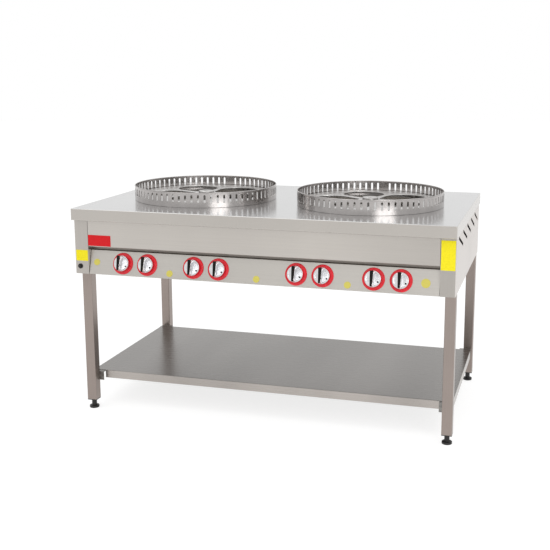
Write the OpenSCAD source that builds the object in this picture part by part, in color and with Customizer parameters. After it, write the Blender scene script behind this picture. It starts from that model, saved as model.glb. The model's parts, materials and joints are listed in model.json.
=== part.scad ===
// Two-burner commercial gas stove on an open stand.
// Millimetres. +X is to the right, -Y is the front, +Z is up.
// The origin is on the floor under the middle of the worktop.

/* [Overall size] */
// Width of the worktop
top_w = 1500; // [1450:10:1600]
// Depth of the worktop
top_d = 900; // [880:10:1000]
// Height of the worktop above the floor
work_h = 840; // [820:5:900]

/* [Worktop] */
// Thickness of the worktop sheet
top_t = 2; // [1.5:0.5:3]
// Height of the folded edge
lip_h = 46; // [40:1:60]
// Width of the front edge's return
return_w = 12; // [8:1:16]
// Distance from the worktop's front edge back to the body
overhang_front = 22; // [18:1:36]
// Distance from the worktop's rear edge forward to the body
overhang_rear = 21; // [12:1:30]
// Height of the collar under each well
collar_h = 38; // [25:1:38]

/* [Body shell] */
// Thickness of the body, panel and shelf sheet
sheet = 1.5; // [1:0.5:2]
// Height of the body shell
body_h = 260; // [255:1:290]
// Width of the cheek at each end of the front
cheek_w = 54.5; // [50:0.5:60]
// Open seam between neighbouring front panels
seam = 1.5; // [1:0.5:3]
// Depth of the folded flanges
flange_d = 28; // [20:1:30]
// Height of the control panel
panel_h = 94; // [90:1:104]
// Angle at which the control panel leans back
tilt = 15; // [12:1:18]
// Height of the shadow gap above the control panel
shadow_gap = 17; // [10:1:20]
// Depth of the ledge at the top of the control panel
ledge_d = 12; // [8:1:14]
// Height of the web behind the shadow gap
web_h = 30; // [22:1:40]

/* [Vents] */
// Number of vent slots in each side panel
vent_count = 5; // [3:1:5]
// Distance between the middles of two vent slots
vent_pitch = 147; // [130:1:155]
// Length of a vent slot
vent_len = 165; // [140:1:175]
// Width of a vent slot
vent_w = 12; // [8:1:16]
// Angle of a vent slot, falling to the rear
vent_slope = 19; // [10:1:24]
// Height of the middle of the vent slots below the worktop
vent_drop = 83; // [76:1:90]
// Distance of the row's middle behind the middle of the worktop
vent_y = 8; // [0:1:20]

/* [Legs and feet] */
// Width of the square leg tube
leg_s = 40; // [36:1:45]
// Wall of the leg tube
leg_t = 1.5; // [1.2:0.1:2.5]
// Outer corner radius of the leg tube
leg_r = 3; // [2.6:0.1:5]
// Distance from the worktop's front edge to the front legs
leg_inset_front = 65; // [62:1:90]
// Distance from the worktop's rear edge to the rear legs
leg_inset_rear = 40; // [28:1:80]
// Diameter of the foot's disc
foot_d = 39; // [34:1:50]
// Height of the foot's disc
foot_disc_h = 9; // [6:1:12]
// Diameter of the foot's neck
foot_neck_d = 20; // [16:1:24]
// Height of the plug's underside above the floor
plug_z = 36; // [24:1:40]
// Thickness of the plug's flange
plug_t = 3; // [2:0.5:5]
// Height of the plug inside the leg
plug_h = 24; // [20:1:36]
// Diameter of the foot's stem
stem_d = 10; // [8:1:12]
// Length of the foot's stem above its neck
stem_len = 66; // [60:1:80]
// Radial play of a turning or sliding fit
run_fit = 0.05; // [0.03:0.01:0.08]
// Gap left between pieces that pass or face each other
gap = 0.3; // [0.2:0.05:0.5]

/* [Undershelf] */
// Height of the shelf's top above the floor
shelf_z = 150; // [140:5:260]
// Height of the shelf's folded edge
shelf_lip_h = 33; // [28:1:45]
// Gap between the shelf and the legs in front of it and behind it
shelf_leg_gap = 18; // [0:1:24]
// Distance from the shelf's front edge ends to the inner faces of the legs
shelf_lip_gap = 16.5; // [10:0.5:22]
// Distance from the shelf's side edge to the leg's outer face
shelf_side_gap = 6.5; // [4:0.5:12]
// Width of a stiffening channel
channel_w = 60; // [40:1:80]
// Height of a stiffening channel
channel_h = 25; // [20:1:27]
// Distance of a stiffening channel from the middle of the shelf
channel_y = 115; // [90:1:160]
// Distance from a stiffening channel's end to the shelf's side edge
channel_end = 18.5; // [10:0.5:40]
// Thickness of a shelf bracket
bracket_t = 3; // [2:0.5:4]
// Height of a shelf bracket
bracket_h = 36.5; // [30:0.5:60]
// Depth of a shelf bracket's flange
bracket_d = 40; // [30:1:60]

/* [Burner stations] */
// Distance of each station from the middle of the worktop
station_x = 352; // [340:1:375]
// Position of the stations along the depth
station_y = -20; // [-30:1:0]
// Inner radius of each well
well_r = 272; // [268:1:275]
// Outer radius of a flame guard
guard_r = 295; // [294:1:310]
// Wall of a flame guard
guard_t = 2; // [1.5:0.5:3]
// Height of a flame guard
guard_h = 60; // [56:1:80]
// Width of the flange at the foot of a flame guard
guard_flange = 16; // [10:1:20]
// Radius of the rolled rim of a flame guard
rim_r = 2; // [1.6:0.1:2.4]
// Number of slot places round a flame guard, one of them left for the weld
slot_places = 72; // [48:1:76]
// Width of a guard slot
slot_w = 8; // [6:0.5:10]
// Length of a guard slot
slot_h = 32; // [20:1:34]
// Height of the guard slots' middle above the worktop
slot_z = 35; // [32:1:36]

/* [Pan supports] */
// Gap between the star plate's edge and the flame guard
star_gap = 9; // [7:0.5:16]
// Thickness of the star plate
star_t = 5; // [4:0.5:8]
// Height of the star plate's underside above the worktop
star_z = 15; // [10:1:22]
// Number of arms
star_arms = 5; // [4:1:6]
// Angle of the first arm of the left star plate
star_turn_left = 16; // [0:1:60]
// Angle of the first arm of the right star plate
star_turn_right = 3; // [0:1:60]
// Width of an arm between the narrow ends of its two openings
arm_w_in = 32; // [26:1:38]
// Distance of an opening's narrow end from the plate's middle
hole_d_in = 72; // [68:1:80]
// Width of an arm between the wide ends of its two openings
arm_w_out = 20; // [16:1:30]
// Distance of an opening's wide end from the plate's middle
hole_d_out = 160; // [150:1:165]
// Diameter of the hub
hub_d = 64; // [50:1:80]
// Height of the hub above the star plate
hub_up = 10; // [6:1:16]
// Depth of the hub below the star plate
hub_down = 20; // [12:1:24]
// Diameter of the pivot spindle
spindle_d = 20; // [16:1:24]
// Diameter of the pivot post below the hub
post_d = 36; // [30:1:44]
// Diameter of the pivot post's flange
post_flange_d = 60; // [50:1:80]
// Thickness of the pivot post's flange
post_flange_t = 5; // [4:0.5:8]
// Distance from the top of the pivot spindle to the top of the hub
spindle_low = 2; // [1:0.5:6]

/* [Burners] */
// Radius of the inner ring burner
ring_r1 = 105; // [102:1:110]
// Radius of the second ring burner
ring_r2 = 150; // [140:1:160]
// Radius of the third ring burner
ring_r3 = 205; // [202:1:212]
// Radius of the outer ring burner
ring_r4 = 250; // [242:1:254]
// Radius of the ring burners' tube
tube_r = 9.5; // [8:0.5:10]
// Height of the burner bars' top below the worktop
bar_drop = 55; // [52:1:60]
// Width of a burner bar
bar_w = 30; // [25:1:35]
// Thickness of a burner bar
bar_t = 4; // [3:0.5:6]
// Distance of the outer bars from the station's middle
bar_x = 150; // [140:1:156]
// Width of a rail's legs
rail_s = 25; // [20:1:30]
// Thickness of a rail
rail_t = 3; // [2:0.5:4]
// Distance from the station's middle to the front and rear rails
rail_y = 298; // [285:1:300]
// Radius of a burner's riser
riser_r = 8; // [6:0.5:9]
// Radius of a mixing tube
mix_r = 11; // [9:0.5:12]
// Bore radius of a mixing tube
mix_bore_r = 8.5; // [6.5:0.5:8.5]
// Gap between the mixing tubes' bell mouths and the rails above them
mix_gap = 4; // [3:0.5:8]
// Radius of a mixing tube's bell mouth
bell_r = 16; // [14:0.5:18]
// Length of a mixing tube's bell mouth
bell_len = 18; // [12:1:24]
// Gap between an injector and the bell mouth
jet_gap = 6; // [4:0.5:10]

/* [Gas train] */
// Distance of a pair of knobs from the middle of its station
knob_pair_x = 147; // [142:1:152]
// Half of the distance between the knobs of a pair
knob_half = 51; // [46:1:54]
// Width and height of a tap body
tap_s = 20; // [18:1:22]
// Depth of a tap body behind the panel
tap_d = 40; // [34:1:46]
// Diameter of a tap's threaded neck
neck_d = 14; // [12:1:16]
// Length of a tap's neck in front of the panel
neck_out = 4; // [3.8:0.1:4.2]
// Width of a tap's lock nut across its corners
nut_d = 22; // [20:1:26]
// Thickness of a tap's lock nut
nut_t = 3; // [2:0.25:3.5]
// Diameter of a tap's spindle
tap_spindle_d = 8; // [6:0.5:9]
// Length of a tap's spindle in front of the panel
tap_spindle_out = 22; // [18:1:24]
// Depth of a tap's spindle behind the panel
tap_spindle_in = 20; // [14:1:28]
// Depth of the flat on a tap's spindle
flat_d = 1.2; // [0.8:0.1:1.6]
// Diameter of the manifold and inlet pipe
pipe_d = 21.3; // [18:0.1:22]
// Wall of the manifold and inlet pipe
pipe_t = 2.6; // [2:0.1:3]
// Diameter of the inlet's thread
thread_d = 20.955; // [17:0.005:20.955]
// Gap between a tap body and the manifold
stub_len = 5; // [4:0.5:6]
// Diameter of a tap's stub
stub_d = 10; // [8:1:12]
// Distance from the outer tap to the manifold's closed end
manifold_end = 50; // [30:1:70]
// Distance from the outer tap to the inlet pipe
inlet_out = 90; // [70:1:110]
// Bend radius of the manifold's elbow
elbow_r = 28; // [24:1:34]
// Diameter of a feed pipe
feed_d = 8; // [6:0.5:10]
// Bend radius of a feed pipe
feed_bend = 25; // [20:1:32]
// Diameter of a feed pipe's nuts, across the corners
feed_nut_d = 16; // [13:1:18]
// Length of a feed pipe's nut
feed_nut_len = 10; // [8:1:14]
// Diameter of an injector
jet_d = 10; // [8:0.5:12]
// Length of an injector
jet_len = 14; // [10:1:20]

/* [Knobs] */
// Outer diameter of a knob's red ring
bezel_d = 85; // [78:1:88]
// Inner diameter of a knob's red ring
bezel_hole_d = 50; // [44:1:52]
// Thickness of a knob's red ring
bezel_t = 4; // [3:0.5:5]
// Edge chamfer of a knob's red ring and dial
knob_chamfer = 1.5; // [0.5:0.25:1.75]
// Diameter of a knob's dial
dial_d = 61; // [56:1:64]
// Thickness of a knob's dial
dial_t = 11.5; // [10:0.5:14]
// Gap between a knob's dial and its red ring
dial_gap = 4.5; // [4.3:0.1:5.5]
// Travel of a knob when it is pressed
push = 4; // [3:0.5:4]
// Depth left free above the spindle in a pressed knob
socket_gap = 1; // [0.5:0.25:2]
// Length of a knob's grip
grip_len = 58; // [50:1:58]
// Height of a knob's grip above the dial
grip_h = 28; // [18:1:32]
// Width of a knob's grip at its upper end
grip_w_top = 14; // [11:0.5:17]
// Width of a knob's grip at its lower end
grip_w_low = 9; // [7:0.5:10]

/* [Igniter] */
// Distance of the igniter from the leg's outer face
igniter_x = 18.5; // [14:0.5:24]
// Height of the igniter above the body's lower edge
igniter_z = 30; // [20:1:40]
// Diameter of the igniter's flange
igniter_flange_d = 20; // [19:0.5:24]
// Thickness of the igniter's flange
igniter_flange_t = 3; // [2:0.5:4]
// Diameter of the igniter's barrel
igniter_d = 16; // [14:0.5:17]
// Gap between the igniter's barrel and the leg behind it
barrel_gap = 3; // [1:0.5:6]
// Diameter of the igniter's button
button_d = 10; // [8:0.5:11]
// Height of the igniter's button in front of its flange
button_out = 5; // [4:0.5:7]
// Travel of the igniter's button
button_push = 3; // [2:0.5:3.5]
// Depth of the igniter's button inside the barrel
button_in = 12; // [8:1:16]
// Distance of a spark electrode from the station's middle
spark_y = 127; // [126:0.5:129]
// Diameter of a spark electrode's ceramic sleeve
ceramic_d = 7; // [5:0.5:8]
// Width of a spark electrode's foot
electrode_foot = 11; // [9:0.5:12]
// Diameter of a spark electrode's wire
wire_d = 2.5; // [2:0.5:3]
// Height of a spark electrode's tip below the worktop
spark_drop = 8; // [4:1:16]

/* [Plates] */
// Thickness of the coloured plates
plate_t = 1; // [0.5:0.25:1.5]
// Width of the red plate
badge_w = 96; // [80:1:110]
// Height of the red plate
badge_h = 43; // [32:1:48]
// Height of the red plate above the shadow gap
badge_up = 3; // [2:1:12]
// Width of the plate on the right cheek
right_plate_w = 52; // [40:0.5:54]
// Height of the plate on the right cheek
right_plate_h = 109; // [90:1:120]
// Height of the plate on the right cheek above the body's lower edge
right_plate_z = 97; // [80:1:110]
// Width of the plate on the left cheek
left_plate_w = 50; // [36:1:52]
// Height of the plate on the left cheek
left_plate_h = 43; // [32:1:46]
// Height of the plate on the left cheek above the body's lower edge
left_plate_z = 52; // [50:1:72]
// Diameter of the round plates between the knobs
dot_d = 26; // [20:1:30]
// Distance of the round plates below the panel's middle line
dot_low = 28; // [22:1:30]
// Distance of the round plate left of the knobs from the outer knob
dot_out = 112; // [90:1:114]
// Diameter of the round plate right of the knobs
dot_right_d = 34; // [28:1:38]
// Distance of the round plate right of the knobs from the outer knob
dot_right_out = 90; // [84:1:96]
// Distance of the round plate right of the knobs below the panel's middle line
dot_right_low = 4; // [0:1:8]

/* [Hidden] */
$fn = 64;

steel = "#cfccc7";
steel_dark = "#9c9690";
cast = "#3c3a38";
brass = "#c2a25a";
red = "#c8283c";
yellow = "#f0e020";
black = "#171513";
white = "#ece8e0";

// A cutter runs this far past the faces that it opens
past = 1;

// Faces of the body shell
side_out = top_w/2 - top_t;
side_in = side_out - sheet;
body_front = -top_d/2 + overhang_front;
body_rear = top_d/2 - overhang_rear;
body_top = work_h - top_t;
body_low = body_top - body_h;
cheek_in = side_in - cheek_w;
fascia_x = cheek_in - seam;

// Control panel: its lower edge is at the body's front, its face leans back
panel_top_z = body_low + panel_h;
panel_top_y = body_front + panel_h*tan(tilt);
web_y = panel_top_y + ledge_d;
fascia_low = panel_top_z + shadow_gap;
panel_mid_y = body_front + panel_h/2*tan(tilt);
panel_mid_z = body_low + panel_h/2;

// Legs and feet: the stand's middle is at stand_y, and leg_y is counted from there
leg_x = side_in - leg_s/2;
leg_front_y = -top_d/2 + leg_inset_front + leg_s/2;
leg_rear_y = top_d/2 - leg_inset_rear - leg_s/2;
stand_y = (leg_front_y + leg_rear_y)/2;
leg_y = (leg_rear_y - leg_front_y)/2;
leg_in_y = leg_y - leg_s/2;
leg_low = plug_z + plug_t;
leg_core = leg_s - 2*leg_t;
stem_r = stem_d/2;

// Undershelf
shelf_y = leg_in_y - shelf_leg_gap;
shelf_x = side_in - shelf_side_gap;
shelf_lip_x = leg_x - leg_s/2 - shelf_lip_gap;
bracket_x = shelf_x - sheet - 0.5;

// Levels under the worktop
bar_top = work_h - bar_drop;
bar_low = bar_top - bar_t;
rail_low = bar_low - rail_t;
ring_z = bar_top + tube_r + gap;
mix_z = rail_low - mix_gap - bell_r;
hub_low = work_h + star_z - hub_down;

// Star plates: the openings' end circles leave the arms between them
star_r = guard_r - guard_t - star_gap;
half_pitch = 180/star_arms;
hole_r_in = hole_d_in*sin(half_pitch) - arm_w_in/2;
hole_r_out = hole_d_out*sin(half_pitch) - arm_w_out/2;

// Knobs from left to right
KNOB_X = [for (side = [-1, 1], pair = [-1, 1], half = [-1, 1])
  side*station_x + pair*knob_pair_x + half*knob_half];
tap_off_x = [-knob_pair_x - knob_half, -knob_pair_x + knob_half,
  knob_pair_x - knob_half, knob_pair_x + knob_half];
outer_knob_x = station_x + knob_pair_x + knob_half;

// Gas line in the control panel's own frame: y runs up the panel, z out of its face
tap_z = -sheet - tap_d/2;
manifold_y = -tap_s/2 - stub_len - pipe_d/2;
pipe_y = panel_mid_y - tap_z*cos(tilt) + manifold_y*sin(tilt);
pipe_z = panel_mid_z + tap_z*sin(tilt) + manifold_y*cos(tilt);
inlet_x = outer_knob_x + inlet_out;

// Feed pipe: a straight run up the panel's slope, then a bend to the rear at the mixing tubes' height
feed_y0 = panel_mid_y - tap_z*cos(tilt) + tap_s/2*sin(tilt);
feed_z0 = panel_mid_z + tap_z*sin(tilt) + tap_s/2*cos(tilt);
feed_run = (mix_z - feed_z0 - feed_bend*(1 - sin(tilt)))/cos(tilt);
feed_y1 = feed_y0 + feed_run*sin(tilt) + feed_bend*cos(tilt);
jet_y = feed_y1 + feed_nut_len + jet_len;
bell_y = jet_y + jet_gap;

// Knob levels above the panel's face
dial_low = bezel_t + dial_gap;
dial_top = dial_low + dial_t;

module box(x0, x1, y0, y1, z0, z1) {
  translate([x0, y0, z0]) cube([x1 - x0, y1 - y0, z1 - z0]);
}

// A profile drawn in (y, z), drawn out along X
module along_x(x0, x1) {
  translate([x0, 0, 0]) rotate([90, 0, 90]) linear_extrude(x1 - x0) children();
}

module on_both_sides() {
  children();
  mirror([1, 0, 0]) children();
}

// Corners of the stand: the child is drawn for the right rear corner, with y from the stand's middle
module at_corner(flip_x, flip_y) {
  translate([0, stand_y, 0]) mirror([flip_x, 0, 0]) mirror([0, flip_y, 0]) children();
}

module on_four_corners() {
  for (flip_x = [0, 1], flip_y = [0, 1]) at_corner(flip_x, flip_y) children();
}

module at_stations() {
  for (side = [-1, 1]) translate([side*station_x, station_y, 0]) children();
}

// Local frame on the control panel: x to the right, y up the slope, z out of the face
module on_panel(x, up = 0) {
  translate([x, panel_mid_y, panel_mid_z]) rotate([90 - tilt, 0, 0]) translate([0, up, 0]) children();
}

module rounded_square(side, r) {
  square([side, side - 2*r], center = true);
  square([side - 2*r, side], center = true);
  for (sx = [-1, 1], sy = [-1, 1]) translate([sx*(side/2 - r), sy*(side/2 - r)]) circle(r);
}

// A slot with round ends, its length along X
module slot_shape(len, width) {
  square([len - width, width], center = true);
  for (end = [-1, 1]) translate([end*(len - width)/2, 0]) circle(width/2);
}

// Square tube leg, standing on its plug and reaching the underside of the worktop
module leg(flip_x, flip_y) {
  color(steel) at_corner(flip_x, flip_y)
    translate([leg_x, leg_y, leg_low]) linear_extrude(body_top - leg_low) difference() {
      rounded_square(leg_s, leg_r);
      rounded_square(leg_core, leg_r - leg_t);
    }
}

module leg_end_plugs() {
  color(black) on_four_corners() translate([leg_x, leg_y, 0]) difference() {
    union() {
      translate([0, 0, plug_z]) linear_extrude(plug_t) rounded_square(leg_s, leg_r);
      translate([0, 0, leg_low]) linear_extrude(plug_h) rounded_square(leg_core, leg_r - leg_t);
    }
    translate([0, 0, plug_z - past]) cylinder(r = stem_r + run_fit, h = plug_t + plug_h + 2*past);
  }
}

// Disc, neck and threaded stem of a screw foot
module foot(flip_x, flip_y) {
  neck_top = plug_z - gap;
  color(black) at_corner(flip_x, flip_y) translate([leg_x, leg_y, 0]) {
    cylinder(d = foot_d, h = foot_disc_h);
    translate([0, 0, foot_disc_h]) cylinder(d = foot_neck_d, h = neck_top - foot_disc_h);
    translate([0, 0, neck_top]) cylinder(r = stem_r, h = stem_len);
  }
}

// Shelf plate between the legs, with a folded edge on all four sides
module undershelf() {
  low = shelf_z - shelf_lip_h;
  side_y = leg_in_y - bracket_d - seam;
  color(steel_dark) translate([0, stand_y, 0]) {
    box(-shelf_x, shelf_x, -shelf_y, shelf_y, shelf_z - sheet, shelf_z);
    for (flip = [0, 1]) mirror([0, flip, 0]) {
      box(-shelf_lip_x, shelf_lip_x, -shelf_y, -shelf_y + sheet, low, shelf_z);
      box(-shelf_lip_x, shelf_lip_x, -shelf_y, -shelf_y + return_w, low, low + sheet);
    }
    on_both_sides()
      box(shelf_x - sheet, shelf_x, -side_y, side_y, low, shelf_z);
  }
}

module shelf_stiffeners() {
  x = shelf_x - sheet - channel_end;
  top = shelf_z - sheet;
  color(steel_dark) for (side = [-1, 1]) translate([0, stand_y + side*channel_y, 0]) {
    box(-x, x, -channel_w/2, channel_w/2, top - sheet, top);
    box(-x, x, -channel_w/2, -channel_w/2 + sheet, top - channel_h, top);
    box(-x, x, channel_w/2 - sheet, channel_w/2, top - channel_h, top);
  }
}

// Angle brackets: the upright is on the leg's inner face, the flange carries the shelf
module shelf_brackets() {
  top = shelf_z - sheet;
  color(steel_dark) on_four_corners() {
    box(shelf_lip_x + gap, bracket_x, leg_in_y - bracket_t, leg_in_y, top - bracket_h, top);
    box(shelf_lip_x + gap, bracket_x, leg_in_y - bracket_d, leg_in_y, top - bracket_t, top);
  }
}

module worktop() {
  low = work_h - lip_h;
  x = top_w/2;
  y = top_d/2;
  color(steel) difference() {
    union() {
      box(-x, x, -y, y, body_top, work_h);
      box(-x, x, -y, -y + top_t, low, work_h);
      box(-x, x, y - top_t, y, low, work_h);
      box(-x, x, -y, -y + top_t + return_w, low, low + top_t);
      on_both_sides() box(x - top_t, x, -y, y, low, work_h);
    }
    at_stations() translate([0, 0, body_top - past]) cylinder(r = well_r, h = top_t + 2*past);
  }
}

// Rolled ring under the edge of each well
module well_collars() {
  color(steel) at_stations() translate([0, 0, body_top - collar_h]) difference() {
    cylinder(r = well_r + top_t, h = collar_h);
    translate([0, 0, -past]) cylinder(r = well_r, h = collar_h + 2*past);
  }
}

// Front sheet under the worktop's edge; its lower flange meets the web of the control panel
module front_fascia() {
  color(steel) {
    box(-fascia_x, fascia_x, body_front, body_front + sheet, fascia_low, body_top);
    box(-fascia_x, fascia_x, body_front, body_front + flange_d, body_top - sheet, body_top);
    box(-fascia_x, fascia_x, body_front, web_y, fascia_low, fascia_low + sheet);
  }
}

// One folded sheet: lower flange, sloping face, ledge under the shadow gap and web behind it
module control_panel() {
  slope = tan(tilt);
  wall = sheet/cos(tilt);
  color(steel) difference() {
    along_x(-fascia_x, fascia_x) polygon([
      [body_front, body_low],
      [panel_top_y, panel_top_z],
      [web_y, panel_top_z],
      [web_y, panel_top_z + web_h],
      [web_y + sheet, panel_top_z + web_h],
      [web_y + sheet, panel_top_z - sheet],
      [panel_top_y - sheet*slope + wall, panel_top_z - sheet],
      [body_front + sheet*slope + wall, body_low + sheet],
      [body_front + flange_d, body_low + sheet],
      [body_front + flange_d, body_low]
    ]);
    for (x = KNOB_X) on_panel(x) translate([0, 0, -sheet - past])
      cylinder(d = neck_d + 2*gap, h = sheet + 2*past);
  }
}

// Corner piece in front of the leg, on the right; the left one is its mirror image
module cheek() {
  leg_front = leg_front_y - leg_s/2;
  box(cheek_in, side_in, body_front, body_front + sheet, body_low, body_top);
  box(cheek_in, cheek_in + sheet, body_front, leg_front, body_low, body_top);
  box(side_in - sheet, side_in, body_front, leg_front, body_low, body_top);
  box(cheek_in, side_in, body_front, leg_front, body_top - sheet, body_top);
  box(cheek_in, side_in, body_front, body_front + flange_d, body_low, body_low + sheet);
}

module right_cheek() {
  color(steel) cheek();
}

module left_cheek() {
  color(steel) difference() {
    mirror([1, 0, 0]) cheek();
    at_igniter() translate([0, 0, -sheet - past]) cylinder(d = igniter_d + 2*gap, h = sheet + 2*past);
  }
}

// Side sheet with its lower flange between the legs and its slanted vent slots, on the right
module side_panel() {
  front = leg_front_y + leg_s/2 + gap;
  rear = leg_rear_y - leg_s/2 - gap;
  first = -(vent_count - 1)/2;
  difference() {
    union() {
      box(side_in, side_out, body_front, body_rear, body_low, body_top);
      box(side_out - flange_d, side_out, front, rear, body_low, body_low + sheet);
    }
    for (i = [0:vent_count - 1])
      translate([side_in - past, vent_y + (first + i)*vent_pitch, work_h - vent_drop])
        rotate([-vent_slope, 0, 0]) along_x(0, sheet + 2*past) slot_shape(vent_len, vent_w);
  }
}

module right_side_panel() {
  color(steel) side_panel();
}

module left_side_panel() {
  color(steel) mirror([1, 0, 0]) side_panel();
}

// Rear sheet; its flanges run between the rear legs
module rear_panel() {
  x = leg_x - leg_s/2 - gap;
  color(steel) difference() {
    union() {
      box(-side_in, side_in, body_rear - sheet, body_rear, body_low, body_top);
      box(-x, x, body_rear - flange_d, body_rear, body_low, body_low + sheet);
      box(-x, x, body_rear - flange_d, body_rear, body_top - sheet, body_top);
    }
    translate([inlet_x, body_rear + past, pipe_z]) rotate([90, 0, 0])
      cylinder(d = pipe_d + 2*gap, h = sheet + 2*past);
  }
}

// Tray on the lower flanges of the shell, notched round the legs and the cheeks' inner walls
module base_pan() {
  x = side_in - sheet - gap;
  low = body_low + sheet;
  high = low + sheet;
  notch = leg_s/2 + gap;
  front = body_front + flange_d/2;
  rear = body_rear - sheet - gap;
  color(steel_dark) difference() {
    box(-x, x, front, rear, low, high);
    on_four_corners()
      box(leg_x - notch, x + past, leg_y - notch, leg_y + notch, low - past, high + past);
    on_both_sides()
      box(cheek_in - gap, x + past, front - past, leg_front_y, low - past, high + past);
  }
}

// Slotted ring with a flange at its foot and a rolled rim; one slot place is left for the weld
module flame_guard(side) {
  rim_z = guard_h - rim_r;
  step = 360/slot_places;
  color(steel) translate([side*station_x, station_y, work_h]) difference() {
    rotate_extrude($fn = 180) {
      translate([guard_r - guard_t, 0]) square([guard_t, rim_z]);
      translate([guard_r - guard_flange, 0]) square([guard_flange, guard_t]);
      translate([guard_r - guard_t/2, rim_z]) circle(rim_r);
    }
    for (i = [1:slot_places - 1]) rotate([0, 0, 90 + i*step])
      translate([guard_r - guard_t - past, 0, slot_z])
        along_x(0, guard_t + 2*past) rotate(90) slot_shape(slot_h, slot_w);
  }
}

// Opening between two arms: two circles and the strip between them, just inside their common tangents
module star_hole() {
  a = acos((hole_r_in - hole_r_out)/(hole_d_out - hole_d_in));
  r_in = hole_r_in - gap;
  r_out = hole_r_out - gap;
  translate([hole_d_in, 0]) circle(hole_r_in);
  translate([hole_d_out, 0]) circle(hole_r_out);
  polygon([
    [hole_d_in + r_in*cos(a), r_in*sin(a)],
    [hole_d_out + r_out*cos(a), r_out*sin(a)],
    [hole_d_out + r_out*cos(a), -r_out*sin(a)],
    [hole_d_in + r_in*cos(a), -r_in*sin(a)]
  ]);
}

module pan_support(side) {
  step = 360/star_arms;
  turn = side < 0 ? star_turn_left : star_turn_right;
  hub_h = hub_down + star_t + hub_up;
  color(steel) translate([side*station_x, station_y, work_h + star_z]) difference() {
    union() {
      linear_extrude(star_t) difference() {
        circle(star_r);
        for (i = [0:star_arms - 1]) rotate(turn + (i + 0.5)*step) star_hole();
      }
      translate([0, 0, -hub_down]) cylinder(d = hub_d, h = hub_h);
    }
    translate([0, 0, -hub_down - past]) cylinder(d = spindle_d + 2*run_fit, h = hub_h + 2*past);
  }
}

// Flanged post on the middle bar; the hub rests on its shoulder and turns on its spindle
module pivot_posts() {
  shoulder = hub_low;
  spindle_h = hub_down + star_t + hub_up - spindle_low;
  color(steel_dark) at_stations() {
    translate([0, 0, bar_top]) cylinder(d = post_flange_d, h = post_flange_t);
    translate([0, 0, bar_top]) cylinder(d = post_d, h = shoulder - bar_top);
    translate([0, 0, shoulder]) cylinder(d = spindle_d, h = spindle_h);
  }
}

// Ring burner with its riser and its mixing tube, which runs forward under the bars to a bell mouth
module burner(r, off_x) {
  riser_y = -sqrt(r*r - off_x*off_x);
  mouth_y = bell_y - station_y;
  tube_len = riser_y + mix_r - mouth_y;
  color(cast) at_stations() {
    translate([0, 0, ring_z]) rotate_extrude($fn = 128) translate([r, 0]) circle(tube_r);
    translate([off_x, riser_y, mix_z]) cylinder(r = riser_r, h = ring_z - mix_z);
    translate([off_x, mouth_y, mix_z]) rotate([-90, 0, 0]) difference() {
      union() {
        cylinder(r = mix_r, h = tube_len);
        cylinder(r1 = bell_r, r2 = mix_r, h = bell_len);
      }
      translate([0, 0, -past]) cylinder(r = mix_bore_r, h = 3*bell_len);
    }
  }
}

module burner_ring_inner() {
  burner(ring_r1, tap_off_x[1]);
}

module burner_ring_second() {
  burner(ring_r2, tap_off_x[2]);
}

module burner_ring_third() {
  burner(ring_r3, tap_off_x[0]);
}

module burner_ring_outer() {
  burner(ring_r4, tap_off_x[3]);
}

// Angle rails across the body, in front of and behind the stations
module support_rails() {
  color(steel_dark) for (dir = [-1, 1]) translate([0, station_y + dir*rail_y, 0])
    mirror([0, dir < 0 ? 0 : 1, 0]) {
      box(-side_in, side_in, 0, rail_s, rail_low, rail_low + rail_t);
      box(-side_in, side_in, 0, rail_t, rail_low, rail_low + rail_s);
    }
}

// Flat bars that lie on the rails and carry the burners
module burner_bars() {
  reach = rail_y - rail_t - gap;
  color(steel_dark) at_stations() for (x = [-bar_x, 0, bar_x])
    box(x - bar_w/2, x + bar_w/2, -reach, reach, bar_low, bar_top);
}

// Pipe along the back of the taps, closed on the left, with an elbow to the inlet pipe on the right
module gas_manifold() {
  left = -outer_knob_x - manifold_end;
  right = inlet_x - elbow_r;
  cap = 2*pipe_t;
  color(brass) {
    translate([left, pipe_y, pipe_z]) rotate([0, 90, 0]) cylinder(d = pipe_d, h = right - left);
    translate([left - cap, pipe_y, pipe_z]) rotate([0, 90, 0]) cylinder(d = pipe_d + 2*pipe_t, h = 4*cap);
    translate([right, pipe_y + elbow_r, pipe_z]) rotate([0, 0, -90])
      rotate_extrude(angle = 90) translate([elbow_r, 0]) circle(d = pipe_d);
  }
}

// Pipe from the manifold's elbow through the rear panel, with a coupling and a thread
module inlet_pipe() {
  start = pipe_y + elbow_r;
  coupling = 4*elbow_r/3;
  end = top_d/2;
  bore = pipe_d - 2*pipe_t;
  color(brass) translate([inlet_x, start, pipe_z]) rotate([-90, 0, 0]) difference() {
    union() {
      cylinder(d = pipe_d, h = body_rear - start);
      cylinder(d = pipe_d + 2*pipe_t, h = coupling);
      cylinder(d = thread_d, h = end - start);
    }
    translate([0, 0, coupling]) cylinder(d = bore, h = end - start - coupling + past);
  }
}

// Tap body behind the panel, its neck with the lock nut, and its stub onto the manifold
module gas_tap() {
  body_low_z = -sheet - tap_d;
  hole_in = tap_spindle_in + gap;
  difference() {
    union() {
      translate([-tap_s/2, -tap_s/2, body_low_z]) cube([tap_s, tap_s, tap_d]);
      translate([0, 0, -sheet]) cylinder(d = neck_d, h = sheet + neck_out);
      cylinder(d = nut_d, h = nut_t, $fn = 6);
      translate([0, 0, tap_z]) rotate([90, 0, 0]) cylinder(d = stub_d, h = -manifold_y);
    }
    translate([0, 0, -hole_in])
      cylinder(d = tap_spindle_d + 2*run_fit, h = hole_in + neck_out + past);
    translate([-tap_s, manifold_y, tap_z]) rotate([0, 90, 0]) cylinder(d = pipe_d + 2*run_fit, h = 2*tap_s);
  }
}

module gas_taps() {
  color(brass) for (x = KNOB_X) on_panel(x) gas_tap();
}

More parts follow.
